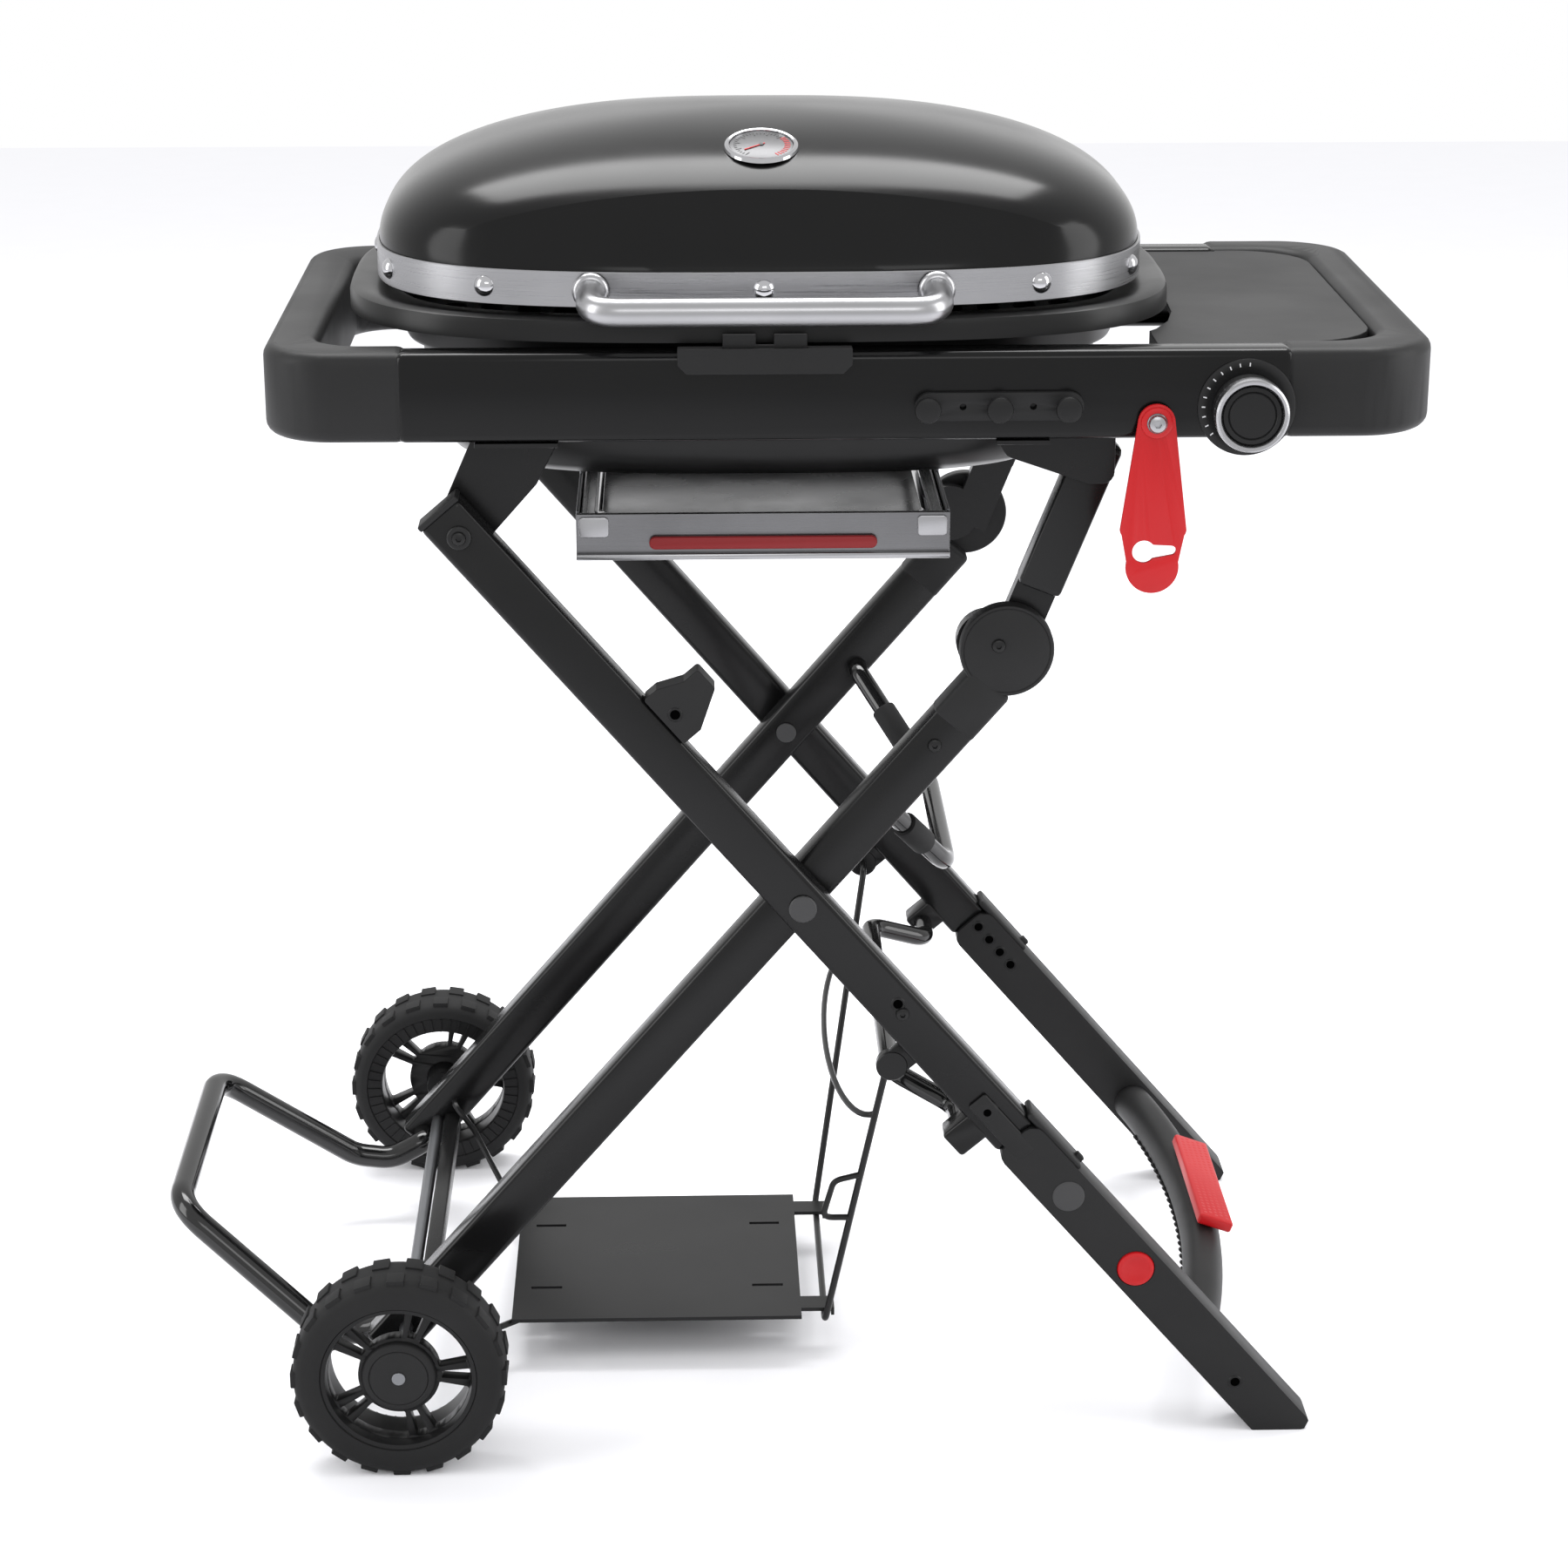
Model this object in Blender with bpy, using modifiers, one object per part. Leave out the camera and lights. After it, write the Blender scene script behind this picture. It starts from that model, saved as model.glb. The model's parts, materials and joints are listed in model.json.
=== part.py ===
"""Portable gas grill on a folding scissor cart, standing open. Metres, +Z up, front towards -Y.

Every size is set once below. X is measured from the middle of the table's rails, and the whole
model hangs on one empty that puts the middle of its footprint at the world's origin.
"""

import math

import bmesh
import bpy
from mathutils import Matrix, Vector

# ---- clearances -------------------------------------------------------------
GAP = 0.0003
RUNNING = 0.0005

# ---- table ------------------------------------------------------------------
RAIL_LENGTH = 0.600
RAIL_HEIGHT = 0.061
RAIL_TOP = 0.811
RAIL_DEPTH = 0.027
RAIL_WALL = 0.004
TABLE_FRONT = -0.232
TABLE_BACK = 0.180
REAR_RAIL_INSET = 0.012
LEFT_END_REACH = 0.091
RIGHT_END_REACH = 0.1005
END_WIDTH = 0.036
END_CORNER = 0.088
SHELF_TOP_THICK = 0.004

# ---- firebox and lid --------------------------------------------------------
BOX_X = -0.054
BOX_Y = -0.028
FLANGE_HALF = (0.2855, 0.196)
WALL_HALF = (0.250, 0.165)
LEDGE = 0.010
FLANGE_TOP = RAIL_TOP + 0.019
FLANGE_DROP = 0.014
LEDGE_Z = RAIL_TOP - 0.016
BOX_BOTTOM = RAIL_TOP - 0.111
DRAIN_HALF = (0.045, 0.035)
BOX_SHEET = 0.0025
CORNER_POWER = 3.2
LID_HALF = (0.2662, 0.1882)
LID_BASE = RAIL_TOP + 0.0225
BAND_LOW = RAIL_TOP + 0.027
BAND_HIGH = RAIL_TOP + 0.051
BAND_SHEET = 0.0016
DOME_RISE = 0.085
DOME_POWER = 2.45
LID_SHEET = 0.002
GRATE_THICK = 0.008
BURNER_RADIUS = 0.011
BURNER_Z = RAIL_TOP - 0.061
BURNER_FRONT = -0.100
BURNER_BACK = 0.045
GAUGE_Y = -0.141
GAUGE_RADIUS = 0.0255
HANDLE_RADIUS = 0.0095
HANDLE_LENGTH = 0.249
HANDLE_Z = RAIL_TOP + 0.033
HANDLE_Y = -0.262
HINGE_SPREAD = 0.170
HINGE_Y = 0.178
HINGE_Z = RAIL_TOP + 0.023
HINGE_RADIUS = 0.006

# ---- controls ---------------------------------------------------------------
KNOB_X = 0.2684
KNOB_Z = RAIL_TOP - 0.0388
KNOB_RADIUS = 0.025
KNOB_DEPTH = 0.024
KNOB_TRAVEL = 0.003
BEZEL_RADIUS = 0.033
BEZEL_THICK = 0.002
STEM_RADIUS = 0.004
LEVER_X = 0.2079
LEVER_Z = RAIL_TOP - 0.048
LEVER_THICK = 0.003
LEVER_LENGTH = 0.099
HOOK_XS = (0.055, 0.103, 0.148)
HOOK_Z = RAIL_TOP - 0.0365
LOCK_PLATE_HALF = 0.058
LOCK_TRAVEL = 0.012

# ---- drip tray --------------------------------------------------------------
TRAY_X = (-0.1833, 0.0758)
TRAY_Y = (-0.163, 0.118)
TRAY_Z = (RAIL_TOP - 0.1582, RAIL_TOP - 0.1252)
TRAY_HANGER_TOP = RAIL_TOP - 0.109
TRAY_SHEET = 0.002
PAN_RIM = 0.003

# ---- folding legs: pivots in the XZ plane -----------------------------------
FOLD = Vector((-0.2603, RAIL_TOP - 0.1261))
SCISSOR = Vector((-0.0278, 0.4149))
KNUCKLE_ALONG = 0.2217
KNUCKLE_OFF = 0.0194
LINK_TOP_X = 0.1716
LEG_WIDTH = 0.034
LEG_THICK = 0.024
LINK_WIDTH = 0.031
OUTER_FACE = 0.228
PLATE_THICK = 0.003
LAYER_GAP = 0.0018
LEG_TOP_END = 0.023
FOOT_START = 0.590
FOOT_HALF = 0.0185
FOOT_THICK = 0.030
KNUCKLE_RADIUS = 0.033
KNUCKLE_CENTRE = Vector((0.0059, -0.0114))
LINK_EYE_RADIUS = 0.022
LINK_START = 0.049
PIN_RADIUS = 0.005
CAP_RADIUS = 0.010
BUTTON_ALONG = 0.7277
BUTTON_RADIUS = 0.0135
BUTTON_TRAVEL = 0.004
GRIP_ALONG = 0.806
GRIP_RADIUS = 0.0155
GRIP_BOW = 0.024
PAD_LENGTH = 0.150
CATCH_ALONG = 0.190
OUTER_CROSS_RADIUS = 0.0075
CROSS_ALONG = 0.566
CROSS_UP = -0.0295
INNER_CROSS_RADIUS = 0.0075

# ---- wheels, axle and loop --------------------------------------------------
WHEEL_RADIUS = 0.0775
WHEEL_WIDTH = 0.045
WHEEL_OUTER = 0.282
RIM_RADIUS = 0.056
RIM_WIDTH = 0.038
HUB_RADIUS = 0.0235
CHANNEL_SIZE = (0.0125, 0.014)
LOOP_RADIUS = 0.0095
LOOP_REACH = 0.174

# ---- gas bottle shelf and its wire cradle -----------------------------------
SHELF_X = (-0.246, -0.024)
SHELF_HALF_DEPTH = 0.108
SHELF_Z = 0.036
SHELF_SHEET = 0.003
WIRE_RADIUS = 0.0026
SHELF_PIVOT = Vector((-0.3037, 0.0945))
CRADLE_PIVOT = Vector((0.0366, 0.2890))
CRADLE_HOOK = Vector((-0.006, 0.0296))

# ---- values that follow from the sizes above --------------------------------
SLOPE = math.atan2(FOLD.y - SCISSOR.y, SCISSOR.x - FOLD.x)
OUTER_DIR = Vector((math.cos(SLOPE), -math.sin(SLOPE)))
OUTER_UP = Vector((math.sin(SLOPE), math.cos(SLOPE)))
INNER_DIR = Vector((math.cos(SLOPE), math.sin(SLOPE)))
INNER_UP = Vector((-math.sin(SLOPE), math.cos(SLOPE)))
KNUCKLE = SCISSOR + INNER_DIR * KNUCKLE_ALONG + INNER_UP * KNUCKLE_OFF
FOLDED_SCISSOR = FOLD + Vector(((SCISSOR - FOLD).length, 0.0))
FOLDED_KNUCKLE = FOLDED_SCISSOR + Vector((KNUCKLE_ALONG, KNUCKLE_OFF))
MIDDLE = (KNUCKLE + FOLDED_KNUCKLE) / 2
CHORD = FOLDED_KNUCKLE - KNUCKLE
LINK_TOP = Vector((LINK_TOP_X, MIDDLE.y - (LINK_TOP_X - MIDDLE.x) * CHORD.x / CHORD.y))
AXLE_ALONG = (WHEEL_RADIUS - SCISSOR.y) / INNER_DIR.y
AXLE = SCISSOR + INNER_DIR * AXLE_ALONG
RAIL_HALF = RAIL_LENGTH / 2
RAIL_BOTTOM = RAIL_TOP - RAIL_HEIGHT
REAR_RAIL_BACK = TABLE_BACK - REAR_RAIL_INSET
OUTER_LAYER = (OUTER_FACE - LEG_THICK, OUTER_FACE)
PLATE_LAYER = (OUTER_LAYER[0] - LAYER_GAP - PLATE_THICK, OUTER_LAYER[0] - LAYER_GAP)
INNER_LAYER = (PLATE_LAYER[0] - LAYER_GAP - LEG_THICK, PLATE_LAYER[0] - LAYER_GAP)
INNER_MID = sum(INNER_LAYER) / 2
FOOT_LAYER = (OUTER_FACE + 0.0025 - FOOT_THICK, OUTER_FACE + 0.0025)
LEFT_REACH = AXLE.x - LOOP_REACH - LOOP_RADIUS * math.cos(math.pi / 12)
RIGHT_REACH = RAIL_HALF + RIGHT_END_REACH
CENTRE_X = (LEFT_REACH + RIGHT_REACH) / 2

COLOURS = {
    "black_enamel": ((0.012, 0.012, 0.012), 0.22, 0.0),
    "black_paint": ((0.014, 0.014, 0.015), 0.40, 0.0),
    "dark_plastic": ((0.030, 0.030, 0.031), 0.62, 0.0),
    "brushed_steel": ((0.62, 0.62, 0.61), 0.32, 1.0),
    "cast_iron": ((0.020, 0.020, 0.020), 0.55, 0.0),
    "brass": ((0.60, 0.45, 0.20), 0.35, 1.0),
    "red_plastic": ((0.62, 0.02, 0.03), 0.45, 0.0),
    "rubber": ((0.022, 0.022, 0.023), 0.80, 0.0),
}

parts = None
cutters = None
bodies = {}


# ---- scene set-up -----------------------------------------------------------
def clear_scene():
    for obj in list(bpy.data.objects):
        bpy.data.objects.remove(obj, do_unlink=True)


def make_collections():
    global parts, cutters
    parts = bpy.data.collections.new("folding_gas_grill")
    cutters = bpy.data.collections.new("cutters")
    bpy.context.scene.collection.children.link(parts)
    bpy.context.scene.collection.children.link(cutters)


def make_materials():
    for name, (colour, roughness, metallic) in COLOURS.items():
        material = bpy.data.materials.new(name)
        material.use_nodes = True
        shader = material.node_tree.nodes["Principled BSDF"]
        shader.inputs["Base Color"].default_value = (*colour, 1.0)
        shader.inputs["Roughness"].default_value = roughness
        shader.inputs["Metallic"].default_value = metallic


def make_body(name, parent, x, y, z):
    """An empty on a joint's axis. Its place is given in the model's own X, Y and Z."""
    empty = bpy.data.objects.new(name + "_axis", None)
    parts.objects.link(empty)
    base = Vector((0, 0, 0))
    if parent:
        empty.parent = bodies[parent][0]
        base = bodies[parent][1]
    spot = Vector((x, y, z))
    empty.location = spot - base if parent else Vector((-CENTRE_X, 0, 0))
    bodies[name] = (empty, spot)


def finish(obj, name, material, body, smooth=40):
    """Name an object, give it its material and hang it on its body."""
    obj.name = name
    obj.data.name = name
    obj.data.materials.clear()
    obj.data.materials.append(bpy.data.materials[material])
    for collection in list(obj.users_collection):
        collection.objects.unlink(obj)
    parts.objects.link(obj)
    obj.data.shade_smooth()
    obj.data.set_sharp_from_angle(angle=math.radians(smooth))
    empty, spot = bodies[body]
    obj.location = obj.location - spot
    obj.parent = empty
    return obj


# ---- shapes -----------------------------------------------------------------
def mesh_object(mesh):
    obj = bpy.data.objects.new(mesh.name, mesh)
    bpy.context.scene.collection.objects.link(obj)
    return obj


def from_bmesh(bm, matrix=None):
    if matrix is not None:
        bmesh.ops.transform(bm, matrix=matrix, verts=bm.verts)
    mesh = bpy.data.meshes.new("shape")
    bm.to_mesh(mesh)
    bm.free()
    return mesh_object(mesh)


def bevel(obj, width, segments=2, angle=40):
    modifier = obj.modifiers.new("rounded_edges", "BEVEL")
    modifier.width = width
    modifier.segments = segments
    modifier.limit_method = "ANGLE"
    modifier.angle_limit = math.radians(angle)
    return obj


def box(low, high, round_by=0.0, segments=2):
    bm = bmesh.new()
    bmesh.ops.create_cube(bm, size=1.0)
    size = Vector(high) - Vector(low)
    middle = (Vector(high) + Vector(low)) / 2
    obj = from_bmesh(bm, Matrix.Translation(middle) @ Matrix.Diagonal((*size, 1.0)))
    if round_by:
        bevel(obj, round_by, segments)
    return obj


def cylinder(start, end, radius, sides=24, end_radius=None):
    """A round bar from one point to another."""
    start, end = Vector(start), Vector(end)
    bm = bmesh.new()
    far = radius if end_radius is None else end_radius
    length = (end - start).length
    bmesh.ops.create_cone(bm, cap_ends=True, segments=sides, radius1=radius, radius2=far, depth=length)
    turn = (end - start).to_track_quat("Z", "Y").to_matrix().to_4x4()
    return from_bmesh(bm, Matrix.Translation((start + end) / 2) @ turn)


def rounded(points, radius, steps=4):
    """Round every corner of a closed outline. A radius may be given per corner."""
    radii = radius if isinstance(radius, (list, tuple)) else [radius] * len(points)
    result = []
    for index, corner in enumerate(points):
        corner = Vector(corner)
        before = Vector(points[index - 1]) - corner
        after = Vector(points[(index + 1) % len(points)]) - corner
        angle = before.angle(after)
        if radii[index] <= 0 or angle > math.radians(178):
            result.append(tuple(corner))
            continue
        reach = radii[index] / math.tan(angle / 2)
        reach = min(reach, before.length * 0.49, after.length * 0.49)
        size = reach * math.tan(angle / 2)
        middle = corner + (before.normalized() + after.normalized()).normalized() * size / math.sin(angle / 2)
        first = corner + before.normalized() * reach - middle
        last = corner + after.normalized() * reach - middle
        for step in range(steps + 1):
            share = step / steps
            spoke = first.lerp(last, share).normalized() * size
            result.append(tuple(middle + spoke))
    return result


def circle(middle, radius, sides=24):
    turn = 2 * math.pi / sides
    return [(middle[0] + radius * math.cos(turn * i), middle[1] + radius * math.sin(turn * i))
            for i in range(sides)]


def meshed(curve_object):
    """Turn a curve object into a closed mesh object in the same place."""
    bpy.context.view_layer.update()
    graph = bpy.context.evaluated_depsgraph_get()
    mesh = bpy.data.meshes.new_from_object(curve_object.evaluated_get(graph))
    bm = bmesh.new()
    bm.from_mesh(mesh)
    bmesh.ops.remove_doubles(bm, verts=bm.verts, dist=0.00001)
    bmesh.ops.recalc_face_normals(bm, faces=bm.faces)
    bm.to_mesh(mesh)
    bm.free()
    result = mesh_object(mesh)
    result.matrix_world = curve_object.matrix_world
    bpy.data.objects.remove(curve_object, do_unlink=True)
    mesh.transform(result.matrix_world)
    result.matrix_world = Matrix.Identity(4)
    return result


def flat(outlines, low, high, plane="XZ"):
    """A flat outline with its holes, given thickness from low to high across its plane."""
    curve = bpy.data.curves.new("outline", "CURVE")
    curve.dimensions = "2D"
    curve.fill_mode = "BOTH"
    curve.extrude = (high - low) / 2
    for outline in outlines:
        spline = curve.splines.new("POLY")
        spline.points.add(len(outline) - 1)
        for point, (across, up) in zip(spline.points, outline):
            point.co = (across, up, 0, 1)
        spline.use_cyclic_u = True
    obj = bpy.data.objects.new("outline", curve)
    bpy.context.scene.collection.objects.link(obj)
    middle = (low + high) / 2
    if plane == "XZ":
        obj.matrix_world = Matrix.Translation((0, middle, 0)) @ Matrix.Rotation(math.pi / 2, 4, "X")
    elif plane == "YZ":
        turn = Matrix.Rotation(math.pi / 2, 4, "Z") @ Matrix.Rotation(math.pi / 2, 4, "X")
        obj.matrix_world = Matrix.Translation((middle, 0, 0)) @ turn
    else:
        obj.matrix_world = Matrix.Translation((0, 0, middle))
    return meshed(obj)


def rounded_path(points, radius, steps=4):
    """Round the inner corners of an open route."""
    route = [Vector(points[0])]
    for before, corner, after in zip(points, points[1:], points[2:]):
        before, corner, after = Vector(before), Vector(corner), Vector(after)
        back, on = before - corner, after - corner
        angle = back.angle(on)
        if angle > math.radians(176):
            route.append(corner)
            continue
        reach = min(radius / math.tan(angle / 2), back.length * 0.48, on.length * 0.48)
        start = corner + back.normalized() * reach
        end = corner + on.normalized() * reach
        for step in range(steps + 1):
            share = step / steps
            route.append(start.lerp(corner, share).lerp(corner.lerp(end, share), share))
    route.append(Vector(points[-1]))
    return route


def tube(points, radius, bend=0.0, steps=4, resolution=2):
    """A round tube along a route, as a closed mesh."""
    route = rounded_path(points, bend, steps) if bend else [Vector(p) for p in points]
    curve = bpy.data.curves.new("route", "CURVE")
    curve.dimensions = "3D"
    curve.bevel_depth = radius
    curve.bevel_resolution = resolution
    curve.use_fill_caps = True
    spline = curve.splines.new("POLY")
    spline.points.add(len(route) - 1)
    for point, spot in zip(spline.points, route):
        point.co = (*spot, 1)
    obj = bpy.data.objects.new("route", curve)
    bpy.context.scene.collection.objects.link(obj)
    return meshed(obj)


def turned(profile, start, direction, steps=24):
    """A solid turned from (radius, along) points that run down its outside, on an axis from start."""
    direction = Vector(direction)
    mesh = bpy.data.meshes.new("turned")
    points = [(radius, 0.0, along) for radius, along in profile]
    mesh.from_pydata(points, [(i, i + 1) for i in range(len(points) - 1)], [])
    obj = mesh_object(mesh)
    screw = obj.modifiers.new("turn", "SCREW")
    screw.steps = steps
    screw.render_steps = steps
    screw.use_merge_vertices = True
    screw.merge_threshold = 0.00001
    screw.use_smooth_shade = True
    obj.matrix_world = Matrix.Translation(start) @ direction.to_track_quat("Z", "Y").to_matrix().to_4x4()
    return baked(obj)


def baked(obj):
    """Apply an object's modifiers and place to its mesh."""
    bpy.context.view_layer.update()
    graph = bpy.context.evaluated_depsgraph_get()
    mesh = bpy.data.meshes.new_from_object(obj.evaluated_get(graph))
    result = mesh_object(mesh)
    mesh.transform(obj.matrix_world)
    bpy.data.objects.remove(obj, do_unlink=True)
    return result


def as_cutter(obj):
    for collection in list(obj.users_collection):
        collection.objects.unlink(obj)
    cutters.objects.link(obj)
    obj.hide_render = True
    obj.display_type = "WIRE"
    return obj


def combine(obj, others, operation):
    """Join other shapes to one, or cut them out of it, and keep the result as its mesh."""
    for other in others:
        modifier = obj.modifiers.new(operation.lower(), "BOOLEAN")
        modifier.operation = operation
        modifier.solver = "EXACT"
        modifier.object = as_cutter(other)
    result = baked(obj)
    for other in others:
        bpy.data.objects.remove(other, do_unlink=True)
    return result


def joined(obj, *others):
    return combine(obj, others, "UNION")


def cut(obj, *others):
    return combine(obj, others, "DIFFERENCE")


def leg_point(origin, along_dir, up_dir, along, up):
    return origin + along_dir * along + up_dir * up


def outer_point(along, up):
    """A point on the outer legs' frame: along the leg from its fold pivot, and up across it."""
    return leg_point(FOLD, OUTER_DIR, OUTER_UP, along, up)


def inner_point(along, up):
    """A point on the inner legs' frame, from the scissor pivot."""
    return leg_point(SCISSOR, INNER_DIR, INNER_UP, along, up)


def bar(place, along, up, layer, corner=0.004):
    """A straight rectangular tube in a leg's frame, between two stations."""
    corners = [place(along[0], up[0]), place(along[1], up[0]), place(along[1], up[1]), place(along[0], up[1])]
    obj = flat([corners], layer[0], layer[1])
    if corner:
        bevel(obj, corner, 2)
        obj = baked(obj)
    return obj


def sides():
    """Both sides of the cart: the name's ending, and the sign of Y."""
    return (("front", -1), ("rear", 1))


def span(layer, sign):
    """A layer's lowest and highest Y on one side of the cart."""
    return (layer[0], layer[1]) if sign > 0 else (-layer[1], -layer[0])


def superellipse(half, share, count=40, power=CORNER_POWER):
    """Points of the firebox's plan outline, scaled by a share of its half sizes."""
    points = []
    for index in range(count):
        angle = 2 * math.pi * index / count
        cosine, sine = math.cos(angle), math.sin(angle)
        across = math.copysign(abs(cosine) ** (2 / power), cosine) * half[0] * share
        deep = math.copysign(abs(sine) ** (2 / power), sine) * half[1] * share
        points.append((BOX_X + across, BOX_Y + deep))
    return points


def loft(rings, close_top=False):
    """An open skin through rings of equal count, each (points, z)."""
    bm = bmesh.new()
    rows = [[bm.verts.new((x, y, z)) for x, y in points] for points, z in rings]
    count = len(rows[0])
    for low, high in zip(rows, rows[1:]):
        for index in range(count):
            following = (index + 1) % count
            bm.faces.new((low[index], low[following], high[following], high[index]))
    if close_top:
        bm.faces.new(rows[-1])
    return from_bmesh(bm)


def thicken(obj, sheet, offset):
    solid = obj.modifiers.new("sheet", "SOLIDIFY")
    solid.thickness = sheet
    solid.offset = offset
    solid.use_even_offset = True
    return baked(obj)


# ---- table ------------------------------------------------------------------
def make_rails():
    front = box((-RAIL_HALF, TABLE_FRONT, RAIL_BOTTOM), (RAIL_HALF, TABLE_FRONT + RAIL_DEPTH, RAIL_TOP),
                0.006, 3)
    front = baked(front)
    hollow_low = (-RAIL_HALF - 0.01, TABLE_FRONT + RAIL_WALL, RAIL_BOTTOM + RAIL_WALL)
    hollow_high = (RAIL_HALF + 0.01, TABLE_FRONT + RAIL_DEPTH + 0.01, RAIL_TOP - RAIL_WALL)
    stem_hole = cylinder((KNOB_X, TABLE_FRONT - 0.01, KNOB_Z),
                         (KNOB_X, TABLE_FRONT + RAIL_DEPTH + 0.01, KNOB_Z),
                         STEM_RADIUS + 0.002)
    front = cut(front, box(hollow_low, hollow_high), stem_hole)
    finish(front, "front_rail", "black_enamel", "root")
    low = (-RAIL_HALF, REAR_RAIL_BACK - RAIL_DEPTH, RAIL_BOTTOM)
    rear = baked(box(low, (RAIL_HALF, REAR_RAIL_BACK, RAIL_TOP), 0.006, 3))
    hollow_low = (-RAIL_HALF - 0.01, REAR_RAIL_BACK - RAIL_DEPTH - 0.01, RAIL_BOTTOM + RAIL_WALL)
    hollow_high = (RAIL_HALF + 0.01, REAR_RAIL_BACK - RAIL_WALL, RAIL_TOP - RAIL_WALL)
    rear = cut(rear, box(hollow_low, hollow_high))
    finish(rear, "rear_rail", "black_enamel", "root")


def end_outline(reach, inset):
    """The plan outline of one plastic table end, moved in from its outside by an inset."""
    start = RAIL_HALF + GAP
    far = RAIL_HALF + reach - inset
    front = TABLE_FRONT + inset
    back = TABLE_BACK - inset
    corner = END_CORNER - inset
    arc = rounded([(0, front), (far, front), (far, back), (0, back)], [0, corner, corner, 0], 7)
    return [point for point in arc if point[0] > start]


def make_table_ends():
    for name, sign, reach in (("left_table_end", -1, LEFT_END_REACH),
                              ("right_table_end", 1, RIGHT_END_REACH)):
        start = RAIL_HALF + GAP
        outer = [(start, TABLE_FRONT)] + end_outline(reach, 0.0) + [(start, TABLE_BACK)]
        inner = [(start, TABLE_BACK - END_WIDTH)] + end_outline(reach, END_WIDTH)[::-1]
        inner += [(start, TABLE_FRONT + END_WIDTH)]
        outline = [(sign * x, y) for x, y in outer + inner]
        end = flat([outline], RAIL_BOTTOM, RAIL_TOP, "XY")
        finish(bevel(end, 0.007, 2, 50), name, "dark_plastic", "root")


def make_side_table():
    """The fixed shelf at the right, hollowed round the firebox's flange."""
    gap = END_WIDTH + 0.001
    edge = RAIL_HALF + RIGHT_END_REACH - gap
    front = TABLE_FRONT + RAIL_DEPTH + 0.001
    back = REAR_RAIL_BACK - RAIL_DEPTH - 0.001
    step = RAIL_HALF - 0.001
    left = BOX_X + FLANGE_HALF[0] - 0.02
    outline = [(left, front), (step, front), (step, TABLE_FRONT + gap)] + end_outline(RIGHT_END_REACH, gap)
    outline += [(step, TABLE_BACK - gap), (step, back), (left, back)]
    top = flat([outline], RAIL_TOP - 0.002 - 0.018, RAIL_TOP - 0.002, "XY")
    hollow = flat([outline], RAIL_TOP - 0.03, RAIL_TOP - 0.002 - SHELF_TOP_THICK, "XY")
    middle = Vector((left + edge, front + back, 0)) / 2
    shrink = Matrix.Diagonal((0.95, 0.96, 1, 1))
    hollow.data.transform(Matrix.Translation(middle) @ shrink @ Matrix.Translation(-middle))
    scoop = loft([(superellipse(FLANGE_HALF, 1.02), RAIL_TOP - 0.04),
                  (superellipse(FLANGE_HALF, 1.02), RAIL_TOP + 0.01)])
    bm = bmesh.new()
    bm.from_mesh(scoop.data)
    bmesh.ops.holes_fill(bm, edges=bm.edges)
    bmesh.ops.recalc_face_normals(bm, faces=bm.faces)
    bm.to_mesh(scoop.data)
    bm.free()
    finish(cut(top, hollow, scoop), "side_table", "dark_plastic", "root")


def make_hook_rack():
    """A bar on the front rail with three mushroom hooks for tools."""
    face = TABLE_FRONT - GAP
    half = 0.0095
    ends = (HOOK_XS[0] - 0.0075, HOOK_XS[-1] + 0.0108)
    outline = rounded([(ends[0], HOOK_Z - half), (ends[1], HOOK_Z - half), (ends[1], HOOK_Z + half),
                       (ends[0], HOOK_Z + half)], 0.004)
    plate = flat([outline], face - 0.005, face)
    hooks = []
    for x in HOOK_XS:
        profile = [(0, 0.018), (0.006, 0.018), (0.0085, 0.015), (0.0085, 0.012), (0.0055, 0.010),
                   (0.0055, 0.002), (0, 0.002)]
        hooks.append(turned(profile, (x, face, HOOK_Z), (0, -1, 0), 16))
    finish(joined(plate, *hooks), "hook_rack", "dark_plastic", "root")


def bracket_outline(points):
    return rounded(points, [0.0, 0.0] + [0.008] * (len(points) - 2), 4)


def make_leg_brackets():
    """Four plates under the rails that carry the fold pivots and the links' upper pivots."""
    top = RAIL_BOTTOM - GAP
    eye = 0.0135
    fold_points = [(FOLD.x + 0.070, top), (FOLD.x + 0.010, top), (FOLD.x - eye, FOLD.y + 0.012),
                   (FOLD.x - eye, FOLD.y - eye), (FOLD.x + eye, FOLD.y - eye),
                   (FOLD.x + 0.052, FOLD.y + 0.030)]
    link_points = [(LINK_TOP.x + eye, top), (LINK_TOP.x - 0.072, top), (LINK_TOP.x - 0.060, top - 0.018),
                   (LINK_TOP.x - 0.004, LINK_TOP.y - eye), (LINK_TOP.x + eye, LINK_TOP.y - eye)]
    fold_flange = (FOLD.x + 0.012, FOLD.x + 0.068)
    link_flange = (LINK_TOP.x - 0.070, LINK_TOP.x - 0.034)
    for side, sign in sides():
        layer = span(PLATE_LAYER, sign)
        rail_side = TABLE_FRONT + 0.002 if sign < 0 else REAR_RAIL_BACK - RAIL_DEPTH + 0.002
        reach = (rail_side, layer[1])
        for name, points, flange in (("fold_bracket_", fold_points, fold_flange),
                                     ("link_bracket_", link_points, link_flange)):
            plate = flat([bracket_outline(points)], layer[0], layer[1])
            foot = box((flange[0], reach[0], top - PLATE_THICK), (flange[1], reach[1], top))
            plate = joined(plate, foot)
            if name == "fold_bracket_":
                hole = cylinder((FOLD.x, layer[0] - 0.01, FOLD.y), (FOLD.x, layer[1] + 0.01, FOLD.y),
                                PIN_RADIUS + RUNNING)
                plate = cut(plate, hole)
            finish(plate, name + side, "black_paint", "root")


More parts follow.
